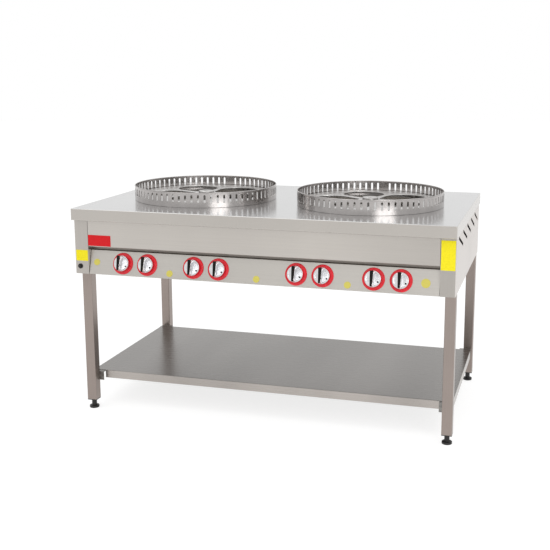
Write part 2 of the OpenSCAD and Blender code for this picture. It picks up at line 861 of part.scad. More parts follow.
// Straight run, bend, nuts and injector of one feed pipe
module feed_pipe() {
  turn = 90 - tilt;
  translate([0, feed_y0, feed_z0]) rotate([-tilt, 0, 0]) {
    cylinder(d = feed_d, h = feed_run);
    cylinder(d = feed_nut_d, h = feed_nut_len, $fn = 6);
    translate([0, feed_bend, feed_run]) rotate([90, 0, -90])
      rotate_extrude(angle = turn) translate([feed_bend, 0]) circle(d = feed_d);
  }
  translate([0, feed_y1, mix_z]) rotate([-90, 0, 0]) {
    cylinder(d = feed_nut_d, h = feed_nut_len, $fn = 6);
    cylinder(d = jet_d, h = feed_nut_len + jet_len);
  }
}

module feed_pipes() {
  color(brass) for (x = KNOB_X) translate([x, 0, 0]) feed_pipe();
}

// A disc with a chamfered upper edge, as the half profile of a turned piece
module turned_disc(r_in, r_out, z0, z1, chamfer) {
  rotate_extrude() polygon([
    [r_in, z0], [r_out, z0], [r_out, z1 - chamfer], [r_out - chamfer, z1], [r_in, z1]
  ]);
}

// The outline of a spindle with its flat, grown by a clearance
module spindle_outline(clear) {
  r = tap_spindle_d/2 + clear;
  difference() {
    circle(r);
    translate([-r, r - flat_d]) square([2*r, flat_d + past]);
  }
}

module tap_spindle(k) {
  flat_from = dial_low - push - gap;
  color(steel_dark) on_panel(KNOB_X[k - 1]) {
    translate([0, 0, -tap_spindle_in]) cylinder(d = tap_spindle_d, h = tap_spindle_in + flat_from);
    translate([0, 0, flat_from]) linear_extrude(tap_spindle_out - flat_from) spindle_outline(0);
  }
}

// Dial and tapered grip, bored for the spindle with its flat
module knob(k) {
  socket = tap_spindle_out + push + socket_gap;
  color(steel) on_panel(KNOB_X[k - 1]) difference() {
    union() {
      turned_disc(0, dial_d/2, dial_low, dial_top, knob_chamfer);
      translate([0, 0, dial_top]) linear_extrude(grip_h) polygon([
        [-grip_w_low/2, -grip_len/2], [grip_w_low/2, -grip_len/2],
        [grip_w_top/2, grip_len/2], [-grip_w_top/2, grip_len/2]
      ]);
    }
    translate([0, 0, dial_low - past]) linear_extrude(socket - dial_low + past) spindle_outline(run_fit);
  }
}

module knob_bezels() {
  color(red) for (x = KNOB_X) on_panel(x)
    turned_disc(bezel_hole_d/2, bezel_d/2, 0, bezel_t, knob_chamfer);
}

// Local frame on the left cheek: z out of its front
module at_igniter() {
  translate([-side_in + igniter_x, body_front, body_low + igniter_z]) rotate([90, 0, 0]) children();
}

module igniter_body() {
  barrel = leg_front_y - leg_s/2 - body_front - barrel_gap;
  socket = button_in + button_push + gap;
  color(black) at_igniter() difference() {
    union() {
      cylinder(d = igniter_flange_d, h = igniter_flange_t);
      translate([0, 0, -barrel]) cylinder(d = igniter_d, h = barrel);
    }
    translate([0, 0, -socket]) cylinder(d = button_d + 2*run_fit, h = socket + igniter_flange_t + past);
  }
}

module igniter_button() {
  color(black) at_igniter() translate([0, 0, -button_in])
    cylinder(d = button_d, h = button_in + igniter_flange_t + button_out);
}

// Foot on the middle bar, ceramic sleeve and wire of a spark electrode
module spark_electrodes() {
  tip = work_h - spark_drop;
  sleeve = ring_z + tube_r - bar_top;
  color(white) at_stations() translate([0, -spark_y, bar_top]) {
    translate([-electrode_foot/2, -electrode_foot/2, 0]) cube([electrode_foot, electrode_foot, bar_t]);
    cylinder(d = ceramic_d, h = sleeve);
    cylinder(d = wire_d, h = tip - bar_top);
  }
}

module badge_plate() {
  low = fascia_low + badge_up;
  color(red) box(-fascia_x, -fascia_x + badge_w, body_front - plate_t, body_front, low, low + badge_h);
}

// Plain yellow plates on the cheeks and round ones on the control panel
module marker_plates() {
  right_mid = side_in - cheek_w/2;
  left_mid = -side_in + cheek_w/2;
  right_low = body_low + right_plate_z;
  left_low = body_low + left_plate_z;
  color(yellow) {
    box(right_mid - right_plate_w/2, right_mid + right_plate_w/2, body_front - plate_t, body_front,
      right_low, right_low + right_plate_h);
    box(left_mid - left_plate_w/2, left_mid + left_plate_w/2, body_front - plate_t, body_front,
      left_low, left_low + left_plate_h);
    for (x = [-station_x, 0, station_x]) on_panel(x, -dot_low) cylinder(d = dot_d, h = plate_t);
    on_panel(-outer_knob_x - dot_out) cylinder(d = dot_d, h = plate_t);
    on_panel(outer_knob_x + dot_right_out, -dot_right_low) cylinder(d = dot_right_d, h = plate_t);
  }
}

leg(1, 1);  // leg_front_left
leg(0, 1);  // leg_front_right
leg(1, 0);  // leg_rear_left
leg(0, 0);  // leg_rear_right
leg_end_plugs();
foot(1, 1);  // foot_front_left
foot(0, 1);  // foot_front_right
foot(1, 0);  // foot_rear_left
foot(0, 0);  // foot_rear_right
undershelf();
shelf_stiffeners();
shelf_brackets();
worktop();
well_collars();
front_fascia();
control_panel();
left_cheek();
right_cheek();
left_side_panel();
right_side_panel();
rear_panel();
base_pan();
flame_guard(-1);  // flame_guard_left
flame_guard(1);  // flame_guard_right
pan_support(-1);  // pan_support_left
pan_support(1);  // pan_support_right
pivot_posts();
burner_ring_inner();
burner_ring_second();
burner_ring_third();
burner_ring_outer();
support_rails();
burner_bars();
gas_manifold();
inlet_pipe();
gas_taps();
feed_pipes();
knob(1);  // knob_1
knob(2);  // knob_2
knob(3);  // knob_3
knob(4);  // knob_4
knob(5);  // knob_5
knob(6);  // knob_6
knob(7);  // knob_7
knob(8);  // knob_8
tap_spindle(1);  // tap_spindle_1
tap_spindle(2);  // tap_spindle_2
tap_spindle(3);  // tap_spindle_3
tap_spindle(4);  // tap_spindle_4
tap_spindle(5);  // tap_spindle_5
tap_spindle(6);  // tap_spindle_6
tap_spindle(7);  // tap_spindle_7
tap_spindle(8);  // tap_spindle_8
knob_bezels();
igniter_body();
igniter_button();
spark_electrodes();
badge_plate();
marker_plates();
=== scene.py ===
"""Two-burner commercial gas stove: rounded sheet metal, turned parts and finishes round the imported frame."""

import json
import math

import bmesh
import bpy
import numpy as np
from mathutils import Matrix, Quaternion, Vector


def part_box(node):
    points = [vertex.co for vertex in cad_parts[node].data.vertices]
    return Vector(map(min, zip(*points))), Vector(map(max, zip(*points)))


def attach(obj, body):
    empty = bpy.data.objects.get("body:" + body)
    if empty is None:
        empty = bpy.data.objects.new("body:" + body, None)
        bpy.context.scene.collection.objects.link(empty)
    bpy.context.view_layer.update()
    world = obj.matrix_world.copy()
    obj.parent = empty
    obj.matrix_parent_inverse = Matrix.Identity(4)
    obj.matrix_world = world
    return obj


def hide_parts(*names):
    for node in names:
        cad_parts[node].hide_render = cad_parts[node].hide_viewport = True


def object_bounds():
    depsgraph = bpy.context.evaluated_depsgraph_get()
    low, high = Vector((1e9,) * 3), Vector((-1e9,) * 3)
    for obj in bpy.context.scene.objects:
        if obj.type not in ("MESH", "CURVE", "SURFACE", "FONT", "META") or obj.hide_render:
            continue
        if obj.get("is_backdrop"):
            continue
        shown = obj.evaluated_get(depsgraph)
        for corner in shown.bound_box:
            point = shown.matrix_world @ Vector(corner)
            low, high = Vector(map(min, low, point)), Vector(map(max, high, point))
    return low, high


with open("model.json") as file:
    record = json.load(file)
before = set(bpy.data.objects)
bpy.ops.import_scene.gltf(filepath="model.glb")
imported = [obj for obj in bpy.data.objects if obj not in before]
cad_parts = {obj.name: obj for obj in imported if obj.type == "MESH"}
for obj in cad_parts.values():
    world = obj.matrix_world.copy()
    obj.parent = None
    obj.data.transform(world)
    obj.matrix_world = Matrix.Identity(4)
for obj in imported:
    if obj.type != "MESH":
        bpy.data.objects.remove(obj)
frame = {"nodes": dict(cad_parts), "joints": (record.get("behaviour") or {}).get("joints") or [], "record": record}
CAD_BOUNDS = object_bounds()

bl_info = {
    "name": "Two-burner gas stove",
    "version": (1, 0, 0),
    "blender": (4, 5, 0),
    "location": "3D View > Sidebar > Stove",
    "description": "Dresses a packed commercial gas stove with sheet metal, knobs, burners and finishes",
    "category": "Object",
}

MM = 0.001
IMAGE_SIZE = 550.0
SIDES = ("left", "right")
KNOB_COUNT = 8
NODE_SLOT = {row["node"]: row["material_slot"] for row in frame["record"]["subparts"]}
JOINTS = {joint["name"]: joint for joint in frame["joints"]}
# Walls and folds of the sheets, which the frame's boxes don't tell, as in the part's source.
TOP_WALL, SHEET_WALL = 2.0 * MM, 1.5 * MM
WELL_RADIUS = 272.0 * MM
HEM, FLANGE = 12.0 * MM, 28.0 * MM
# Angles and directions that differ by less than TINY, or only past DIGITS decimals, count as the same, and a
# point less than ON_EDGE from an edge lies on it.
TINY, DIGITS, ON_EDGE = 1e-9, 9, 1e-7
# Points closer than this become one, and faces narrower than this go.
MERGE_WITHIN, NEEDLE_WIDTH = 0.002 * MM, 0.001 * MM
# How far from a bend one more point lies that keeps the flat beside it flat, on sheets and on small parts.
SHEET_MARGIN, SMALL_MARGIN = 0.4 * MM, 0.1 * MM


def linear(code):
    """An sRGB hex colour as linear RGBA."""
    srgb = np.array([int(code[i : i + 2], 16) for i in (1, 3, 5)]) / 255.0
    values = np.where(srgb <= 0.04045, srgb / 12.92, ((srgb + 0.055) / 1.055) ** 2.4)
    return (*values.tolist(), 1.0)


def corners(node):
    """Lowest and highest corner of a CAD node as two arrays, in metres."""
    low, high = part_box(node)
    return np.array(low), np.array(high)


def middle(node):
    """Middle of a CAD node's box."""
    low, high = corners(node)
    return (low + high) / 2.0


def upright_axis(node):
    """The point on the floor below the middle of a CAD node's box."""
    return middle(node) * np.array([1.0, 1.0, 0.0])


def put(tree, kind, inputs=None, **settings):
    """Adds one node with its settings, its plain values and its links."""
    node = tree.nodes.new(kind)
    for name, value in settings.items():
        setattr(node, name, value)
    for name, value in (inputs or {}).items():
        socket = node.inputs[name]
        if isinstance(value, bpy.types.NodeSocket):
            tree.links.new(value, socket)
        else:
            socket.default_value = value
    return node


def unit(vector):
    """The vector at length 1."""
    vector = np.asarray(vector, float)
    return vector / np.linalg.norm(vector)


def arc_path(corner_points, radius, steps=6, margin=SHEET_MARGIN):
    """A polyline with rounded corners: each inner corner gives way to an arc that touches both of its legs.

    The arc touches them at radius / tan(half the corner's angle) from the corner. Its points are the sum of
    its two end spokes, weighted by the sines of the angles left and done, over the sine of the whole. One
    more point stands on each leg close to the arc, so that the flat stretches shade flat.
    """
    points = [np.array(corner_points[0], float)]
    for before, corner, after in zip(corner_points, corner_points[1:], corner_points[2:]):
        corner = np.array(corner, float)
        back, ahead = unit(before - corner), unit(after - corner)
        half = 0.5 * math.acos(float(np.clip(back @ ahead, -1.0, 1.0)))
        reach = radius / math.tan(half)
        centre = corner + unit(back + ahead) * radius / math.sin(half)
        start, end = corner + back * reach - centre, corner + ahead * reach - centre
        sweep = math.pi - 2.0 * half
        t = np.linspace(0.0, 1.0, steps + 1)[:, None]
        arc = (np.sin((1.0 - t) * sweep) * start + np.sin(t * sweep) * end) / math.sin(sweep) + centre
        points += [corner + back * (reach + margin), *arc, corner + ahead * (reach + margin)]
    points.append(np.array(corner_points[-1], float))
    return np.array(points)


def along_x(profile, columns):
    """A profile in (y, z) carried along X: row i, column j is (x_j, y_i, z_i)."""
    rows, cols = len(profile), len(columns)
    grid = np.empty((rows, cols, 3))
    grid[..., 0] = columns
    grid[..., 1:] = profile[:, None, :]
    return grid


def turned(profile, origin, axis, turn):
    """A profile of (radius, height) turned round an axis: each row is a circle of that radius at that height.

    The columns are a number of equal steps, or the angles themselves. The first one points to the right.
    """
    axis, right = unit(axis), np.array([1.0, 0.0, 0.0])
    across = unit(right - axis * float(right @ axis))
    beside = np.cross(axis, across)
    if np.ndim(turn) == 0:
        turn = np.linspace(0.0, 2.0 * np.pi, turn, endpoint=False)
    ring = np.cos(turn)[:, None] * across + np.sin(turn)[:, None] * beside
    profile = np.array(profile, float)
    return np.array(origin) + profile[:, 0, None, None] * ring + profile[:, 1, None, None] * axis


def quads(rows, cols, wrap):
    """The quads of a grid whose point (row, col) has the number row * cols + col.

    Wrap joins the last column to the first.
    """
    across = cols if wrap else cols - 1
    row, col = np.meshgrid(np.arange(rows - 1), np.arange(across), indexing="ij")
    ahead = (col + 1) % cols
    corners_of = [row * cols + col, row * cols + ahead, (row + 1) * cols + ahead, (row + 1) * cols + col]
    return np.stack(corners_of, axis=-1).reshape(-1, 4)


def hole_cell(outline, reach, corner_angles, rows):
    """The flat sheet between a hole and the edge of its cell, both seen from the hole's middle at (0, 0).

    Each column is a ray. Its angles are those of the outline's points and of the cell's corners. A point
    lies at the share `rows` of the way from the outline to the cell's edge, whose distance is reach(rays).
    A ray d meets the outline's chord from a to b at the distance (a x b) / (d x (b - a)).
    """
    angles = np.arctan2(outline[:, 1], outline[:, 0])
    outline = outline[np.argsort(angles)]
    angles = np.sort(angles)
    merged = np.unique(np.round(np.concatenate([angles, corner_angles]), DIGITS))
    rays = np.stack([np.cos(merged), np.sin(merged)], axis=-1)
    after = np.searchsorted(angles, merged - TINY) % len(angles)
    a, b = outline[after - 1], outline[after]
    inner = np.cross(a, b) / np.cross(rays, b - a)
    outer = reach(rays)
    share = np.array(rows)[:, None]
    return (inner + (outer - inner) * share)[..., None] * rays


def box_reach(low_x, high_x, low_y, high_y):
    """The distance along each ray from (0, 0) to the rectangle round it, and the angles of its corners.

    It is the nearer of the ray's crossings with the upright side and the level side that it heads for.
    """

    def reach(rays):
        with np.errstate(divide="ignore"):
            to_x = np.where(rays[:, 0] > 0.0, high_x, low_x) / rays[:, 0]
            to_y = np.where(rays[:, 1] > 0.0, high_y, low_y) / rays[:, 1]
        to_x = np.where(np.abs(rays[:, 0]) < TINY, np.inf, to_x)
        to_y = np.where(np.abs(rays[:, 1]) < TINY, np.inf, to_y)
        return np.minimum(to_x, to_y)

    angles = np.arctan2([low_y, low_y, high_y, high_y], [low_x, high_x, high_x, low_x])
    return reach, angles


def slot_outline(length, width):
    """A slot along the second axis: half a circle round each end of its middle line."""
    straight = (length - width) / 2.0
    bow = np.linspace(0.0, np.pi, 9)
    top = np.stack([np.cos(bow) * width / 2.0, np.sin(bow) * width / 2.0 + straight], axis=-1)
    side = np.array([[-width / 2.0, 0.0]])
    return np.concatenate([top, side, -top, -side])


def circle_outline(radius, count):
    """A circle of points."""
    turn = np.linspace(0.0, 2.0 * np.pi, count, endpoint=False)
    return radius * np.stack([np.cos(turn), np.sin(turn)], axis=-1)


def mesh_from(surfaces):
    """One bmesh from several grids of points, with doubles merged and needle faces gone."""
    points, faces, first = [], [], 0
    for grid, wrap in surfaces:
        rows, cols = grid.shape[:2]
        points.append(grid.reshape(-1, 3))
        faces.append(quads(rows, cols, wrap) + first)
        first += rows * cols
    mesh = bpy.data.meshes.new("draft")
    mesh.from_pydata(np.concatenate(points).tolist(), [], np.concatenate(faces).tolist())
    shell = bmesh.new()
    shell.from_mesh(mesh)
    bpy.data.meshes.remove(mesh)
    bmesh.ops.remove_doubles(shell, verts=shell.verts, dist=MERGE_WITHIN)
    bmesh.ops.dissolve_degenerate(shell, dist=NEEDLE_WIDTH, edges=shell.edges)
    bmesh.ops.recalc_face_normals(shell, faces=shell.faces)
    return shell


def islands(shell):
    """The faces of a bmesh in connected groups."""
    left = set(shell.faces)
    while left:
        group, edge = set(), [next(iter(left))]
        while edge:
            face = edge.pop()
            if face in left:
                left.discard(face)
                group.add(face)
                edge += [near for side in face.edges for near in side.link_faces if near in left]
        yield group


def face_away(shell, inside):
    """Turns each connected open sheet so that its faces look away from the point inside it."""
    inside = Vector(inside)
    for group in list(islands(shell)):
        outward = sum(f.calc_area() * f.normal.dot(f.calc_center_median() - inside) for f in group)
        if outward < 0.0:
            bmesh.ops.reverse_faces(shell, faces=list(group))


def settle(piece, crease):
    """Bakes a piece's modifiers into its mesh and marks the edges that turn by more than the crease angle."""
    graph = bpy.context.evaluated_depsgraph_get()
    baked = bpy.data.meshes.new_from_object(piece.evaluated_get(graph))
    old = piece.data
    piece.modifiers.clear()
    piece.data = baked
    bpy.data.meshes.remove(old)
    baked.name = piece.name
    baked.polygons.foreach_set("use_smooth", np.ones(len(baked.polygons), bool))
    baked.set_sharp_from_angle(angle=math.radians(crease))


def make_piece(name, surfaces, coating, body="root", stands_for=(), slot=None, **shape):
    """Builds a piece from its surfaces, gives it a wall or rounded edges, its finish and its body.

    The shape's values: wall thickness, a point inside an open sheet, edge radius, crease angle in degrees.
    """
    wall, inside = shape.get("wall", 0.0), shape.get("inside")
    edge, crease = shape.get("edge", 0.0), shape.get("crease", 38.0)
    shell = mesh_from(surfaces)
    if inside is not None:
        face_away(shell, inside)
    mesh = bpy.data.meshes.new(name)
    shell.to_mesh(mesh)
    shell.free()
    piece = bpy.data.objects.new(name, mesh)
    bpy.context.scene.collection.objects.link(piece)
    if wall > 0.0:
        solid = piece.modifiers.new("wall", "SOLIDIFY")
        solid.thickness = wall
        solid.offset = -1.0
        solid.use_even_offset = True
    if edge > 0.0:
        bevel = piece.modifiers.new("edge", "BEVEL")
        bevel.width = edge
        bevel.segments = 2
        bevel.limit_method = "ANGLE"
        bevel.angle_limit = math.radians(crease)
    settle(piece, crease)
    piece.data.materials.clear()
    piece.data.materials.append(finish(coating))
    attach(piece, body)
    if stands_for:
        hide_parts(*stands_for)
        slot = slot or NODE_SLOT[stands_for[0]]
    return piece


def punched_band(centres, half_width, low, high, outline, blanks=()):
    """Equal cells side by side, each with a hole, in flat coordinates: s along the band, t across it.

    A blank cell is a fan from its middle to the same edge points. Also returns the s of the points on the
    band's long edges and the t of the points on a cell's sides, both seen from a cell's middle.
    """
    reach, corner_angles = box_reach(-half_width, half_width, low, high)
    cell = hole_cell(outline, reach, corner_angles, (0.0, 0.3, 1.0))
    blank = hole_cell(outline, reach, corner_angles, (1.0,)) * np.array([0.0, 1.0])[:, None, None]
    cells = [(blank if i in blanks else cell) + np.array([centre, 0.0]) for i, centre in enumerate(centres)]
    edge = cell[-1]
    on_long = edge[np.isclose(edge[:, 1], high, atol=ON_EDGE)][:, 0]
    on_side = edge[np.isclose(edge[:, 0], half_width, atol=ON_EDGE)][:, 1]
    return cells, np.sort(on_long), np.sort(on_side)


def spread(centres, offsets):
    """Every centre with every offset, in order and without doubles."""
    return np.unique(np.round((np.array(centres)[:, None] + np.array(offsets)).ravel(), 8))


def round_outline(half_x_low, half_x_high, half_y, radius):
    """A four-sided outline with round corners and the outward direction at each point.

    The half width goes from half_x_low at the lower end to half_x_high at the upper end. Each corner is a
    quarter circle.
    """
    middles = np.array([
        [half_x_high - radius, half_y - radius],
        [radius - half_x_high, half_y - radius],
        [radius - half_x_low, radius - half_y],
        [half_x_low - radius, radius - half_y],
    ])
    bow = np.linspace(0.0, np.pi / 2.0, 6)
    turn = bow[None, :] + np.arange(4)[:, None] * np.pi / 2.0
    outward = np.stack([np.cos(turn), np.sin(turn)], axis=-1)
    return (middles[:, None, :] + radius * outward).reshape(-1, 2), outward.reshape(-1, 2)


def raised(outline, outward, levels):
    """An outline carried up: each row of levels is (inset, height), and closes on the outline's spine."""
    inset, height = np.array(levels).T
    flat = outline[None] - outward[None] * inset[:, None, None]
    spine_share = 0.85
    spine = flat[-1] * np.array([0.0, spine_share])
    flat = np.concatenate([flat, spine[None]])
    height = np.append(height, height[-1])
    return np.concatenate([flat, np.broadcast_to(height[:, None, None], flat.shape[:2] + (1,))], axis=-1)


def panel_place(knob):
    """Origin and axes of a knob on the sloping panel: to the right, up the slope, out of the face."""
    joint = JOINTS[f"turn_knob_{knob}"]
    out = unit(joint["axis"])
    right = np.array([1.0, 0.0, 0.0])
    return np.array(joint["pos_m"], float), right, np.cross(out, right), out


def on_panel(points, place):
    """Points (x, y, z) in a knob's own axes, in the frame."""
    origin, right, up, out = place
    return origin + points[..., :1] * right + points[..., 1:2] * up + points[..., 2:3] * out


def on_panel_turned(profile, knob, steps):
    """A profile of (radius, height) turned round a knob's axis."""
    return on_panel(turned(profile, (0, 0, 0), (0, 0, 1), steps), panel_place(knob))


def shade_round(piece, middle_xy):
    """Gives an upright round wall the true normals of its cylinder, straight away from or to its axis.

    Only faces that look along that direction, by a cosine over the limit, take them.
    """
    mesh, limit = piece.data, 0.8
    count = len(mesh.loops)
    vertex_of, points = np.empty(count, int), np.empty(len(mesh.vertices) * 3)
    mesh.loops.foreach_get("vertex_index", vertex_of)
    mesh.vertices.foreach_get("co", points)
    totals, face_normals = np.empty(len(mesh.polygons), int), np.empty(len(mesh.polygons) * 3)
    mesh.polygons.foreach_get("loop_total", totals)
    mesh.polygons.foreach_get("normal", face_normals)
    flat = np.repeat(face_normals.reshape(-1, 3), totals, axis=0)
    away = points.reshape(-1, 3)[vertex_of] - np.array([*middle_xy, 0.0])
    away[:, 2] = 0.0
    away /= np.linalg.norm(away, axis=1, keepdims=True)
    facing = np.einsum("ij,ij->i", flat, away)
    normals = np.where(np.abs(facing)[:, None] > limit, np.sign(facing)[:, None] * away, flat)
    mesh.normals_split_custom_set(normals.tolist())


def finish_base(name, colour, metallic, roughness, **sockets):
    """A new material with its shader set to plain values; returns the material, its tree and its shader."""
    material = bpy.data.materials.new(name)
    material.use_nodes = True
    tree = material.node_tree
    shader = tree.nodes["Principled BSDF"]
    values = {"Base Color": colour, "Metallic": metallic, "Roughness": roughness, **sockets}
    for socket, value in values.items():
        shader.inputs[socket].default_value = value
    return material, tree, shader


def link_all(tree, shader, results):
    """Links each result to the shader's socket of that name."""
    for socket, result in results.items():
        tree.links.new(result, shader.inputs[socket])


def tint(name):
    """One of the stove's colours as linear RGBA."""
    return (*getattr(bpy.context.scene.stove_colours, name), 1.0)


def shade_of(colour, times):
    """A linear colour made lighter or darker."""
    return (*[min(1.0, value * times) for value in colour[:3]], 1.0)


# Most of a noise lies between these two values, which become the ends of a range.
NOISE_SPAN = {"From Min": 0.3, "From Max": 0.7}
# Ground steel: how many widths long a line is, how far its tone and roughness differ from the sheet's, and
# its depth; the soft bands' width, and how many widths long they are; where along X the painted shade of the
# right end starts and where it is darkest.
LINE_LENGTH, LINE_TONE, LINE_GLOSS, LINE_DEPTH = 320.0, 0.04, 0.03, 0.03 * MM
BAND_WIDTH, BAND_LENGTH = 240.0 * MM, 5.0
PAINTED_SHADE_START, PAINTED_SHADE_FULL = 300.0 * MM, 720.0 * MM


def ground_steel(name, colour, lay, roughness, line=1.2 * MM, drift=0.03, fold=None, end=1.0):
    """Stainless steel sheet ground with a belt: fine parallel lines along one axis and faint soft bands.

    Real lines stand about 0.1 mm apart; they are drawn as wide as `line`, so that the render shows them. The
    bands lie across the lines, and drift is how far they get lighter or darker. A fold is a colour and two
    heights: the sheet takes that colour between the first and the second, and keeps it from there on. The fold
    colour is painted light and shade: darker on the worktop's lip and the panel's fold, lighter on the
    undershelf's folds below its top face painted dark. End is how much of its brightness the sheet keeps at the
    stove's right end: painted shade, darker towards that end.
    """
    material, tree, shader = finish_base(name, colour, 1.0, roughness)
    where = put(tree, "ShaderNodeTexCoord").outputs["Object"]
    along = [1.0 / (line * (LINE_LENGTH if axis == lay else 1.0)) for axis in "xyz"]
    laid = put(tree, "ShaderNodeMapping", {"Vector": where, "Scale": along}).outputs["Vector"]
    lines = put(tree, "ShaderNodeTexNoise", {"Vector": laid, "Scale": 1.0, "Detail": 3.0}).outputs["Fac"]
    bands = [1.0 / (BAND_WIDTH * (1.0 if axis == lay else BAND_LENGTH)) for axis in "xyz"]
    swept = put(tree, "ShaderNodeMapping", {"Vector": where, "Scale": bands}).outputs["Vector"]
    soft = put(tree, "ShaderNodeTexNoise", {"Vector": swept, "Scale": 1.0, "Detail": 1.0}).outputs["Fac"]
    share = put(tree, "ShaderNodeMapRange", {"Value": lines, **NOISE_SPAN}).outputs["Result"]
    dark, light = shade_of(colour, 1.0 - LINE_TONE), shade_of(colour, 1.0 + LINE_TONE)
    toned = put(tree, "ShaderNodeMix", {0: share, 6: dark, 7: light}, data_type="RGBA").outputs[2]
    # Painted light and shade: below the fold's heights the sheet takes the fold colour instead of its own.
    if fold:
        folded, start, full = fold
        height = put(tree, "ShaderNodeSeparateXYZ", {"Vector": where}).outputs["Z"]
        levels = {"Value": height, "From Min": start, "From Max": full}
        past = put(tree, "ShaderNodeMapRange", levels).outputs["Result"]
        toned = put(tree, "ShaderNodeMix", {0: past, 6: toned, 7: folded}, data_type="RGBA").outputs[2]
    levels = {"Value": soft, **NOISE_SPAN, "To Min": 1.0 - drift, "To Max": 1.0 + drift}
    grey = put(tree, "ShaderNodeMapRange", levels).outputs["Result"]
    # Painted shade: the sheet keeps less of its brightness towards the stove's right end.
    across = put(tree, "ShaderNodeSeparateXYZ", {"Vector": where}).outputs["X"]
    levels = {"Value": across, "From Min": PAINTED_SHADE_START, "From Max": PAINTED_SHADE_FULL, "To Min": 1.0, "To Max": end}
    painted_end_shade = put(tree, "ShaderNodeMapRange", levels).outputs["Result"]
    grey = put(tree, "ShaderNodeMath", {0: grey, 1: painted_end_shade}, operation="MULTIPLY").outputs[0]
    toned = put(tree, "ShaderNodeVectorMath", {0: toned, "Scale": grey}, operation="SCALE").outputs[0]
    levels = {"Value": lines, **NOISE_SPAN}
    levels.update({"To Min": roughness - LINE_GLOSS, "To Max": roughness + LINE_GLOSS})
    dull = put(tree, "ShaderNodeMapRange", levels).outputs["Result"]
    relief = {"Height": lines, "Distance": LINE_DEPTH, "Strength": 0.3}
    bumps = put(tree, "ShaderNodeBump", relief).outputs["Normal"]
    link_all(tree, shader, {"Base Color": toned, "Roughness": dull, "Normal": bumps})
    return material


def mottled(name, pair, gloss, widths, relief, metallic=0.0, **sockets):
    """A finish whose colour drifts between two in soft patches and whose gloss changes grain by grain.

    The pair holds the two colours, gloss the lowest and highest roughness, widths the patch and the grain in
    metres, relief the depth of the grain in metres.
    """
    material, tree, shader = finish_base(name, pair[0], metallic, sum(gloss) / 2.0, **sockets)
    where = put(tree, "ShaderNodeTexCoord").outputs["Object"]
    patch, grain = ({"Vector": where, "Scale": 1.0 / width, "Detail": 3.0} for width in widths)
    drift = put(tree, "ShaderNodeTexNoise", patch).outputs["Fac"]
    levels = {"Value": drift, "From Min": 0.35, "From Max": 0.65}
    share = put(tree, "ShaderNodeMapRange", levels).outputs["Result"]
    toned = put(tree, "ShaderNodeMix", {0: share, 6: pair[0], 7: pair[1]}, data_type="RGBA").outputs[2]
    fine = put(tree, "ShaderNodeTexNoise", grain).outputs["Fac"]
    levels = {"Value": fine, **NOISE_SPAN, "To Min": gloss[0], "To Max": gloss[1]}
    dull = put(tree, "ShaderNodeMapRange", levels).outputs["Result"]
    height = {"Height": fine, "Distance": relief, "Strength": 0.5}
    bumps = put(tree, "ShaderNodeBump", height).outputs["Normal"]
    link_all(tree, shader, {"Base Color": toned, "Roughness": dull, "Normal": bumps})
    return material


def top_steel():
    """Worktop and wells' collars: ground stainless steel, lines along its length, with painted shade greying the
    lip below the top.
    """
    top = corners("worktop")[1][2]
    # Painted shade: below the top face the sheet takes a greyer copy of the fascia colour, standing for the darker
    # room the upright lip mirrors.
    fold = (shade_of(tint("front"), 0.9), top - 0.4 * MM, top - 2.4 * MM)
    return ground_steel("ground stainless worktop", tint("top"), "x", 0.2, fold=fold)


def front_steel():
    """Fascia: ground stainless steel, duller than the worktop, with painted shade darkening its right end."""
    return ground_steel("ground stainless fascia", tint("front"), "x", 0.4, end=0.84)


def cheek_steel():
    """Cheeks beside the fascia: the same sheet with upright lines, a little darker, with painted shade darkening
    the right cheek.
    """
    return ground_steel("ground stainless cheek", shade_of(tint("front"), 0.88), "z", 0.4, end=0.87)


def panel_steel():
    """Sloping control panel: ground stainless steel, with painted shade: a dark tint on the fold in the shadow
    gap.
    """
    low, middle_z = corners("control_panel")[0][2], panel_place(1)[0][2]
    top = 2.0 * middle_z - low
    # Painted shade: the fold in the shadow gap under the fascia takes the dark fold colour.
    fold = (tint("fold"), top - 0.8 * MM, top - 0.2 * MM)
    return ground_steel("ground stainless panel", tint("panel"), "x", 0.38, fold=fold)


def side_steel():
    """Side and rear sheets: ground stainless steel, lines along the sides' depth, fine grain on the rear."""
    return ground_steel("ground stainless side sheet", tint("side"), "y", 0.42)


def leg_steel():
    """Legs: drawn square tube with lines along its length."""
    return ground_steel("drawn stainless tube", tint("leg"), "z", 0.3, 0.9 * MM, 0.06)


def shelf_steel():
    """Undershelf: ground stainless steel with strong soft bands, its top face painted dark as shade under the
    stove and its folds lighter.
    """
    top = corners("undershelf")[1][2]
    # Painted shade and light: the top face under the stove keeps the dark colour, the folds below take the lighter
    # one.
    fold = (tint("shelf_lip"), top - 0.4 * MM, top - 2.4 * MM)
    return ground_steel("ground stainless shelf", tint("shelf"), "x", 0.26, 1.4 * MM, 0.09, fold)


def spindle_steel():
    """Tap spindles: machined steel with fine marks and no soft bands."""
    return ground_steel("machined steel", linear("#B4B2AE"), "y", 0.28, 0.5 * MM, 0.0)


def frame_steel():
    """Base pan, stiffeners, rails, bars, posts and brackets: galvanised steel, spangles 6 mm wide."""
    material, tree, shader = finish_base("galvanised steel", linear("#8E8C88"), 1.0, 0.45)
    where = put(tree, "ShaderNodeTexCoord").outputs["Object"]
    cells = put(tree, "ShaderNodeTexVoronoi", {"Vector": where, "Scale": 1.0 / (6.0 * MM)})
    grey = put(tree, "ShaderNodeSeparateColor", {"Color": cells.outputs["Color"]}).outputs["Red"]
    pair = {0: grey, 6: linear("#7E7C79"), 7: linear("#9D9B97")}
    toned = put(tree, "ShaderNodeMix", pair, data_type="RGBA").outputs[2]
    dull = put(tree, "ShaderNodeMapRange", {"Value": grey, "To Min": 0.38, "To Max": 0.55}).outputs["Result"]
    link_all(tree, shader, {"Base Color": toned, "Roughness": dull})
    return material


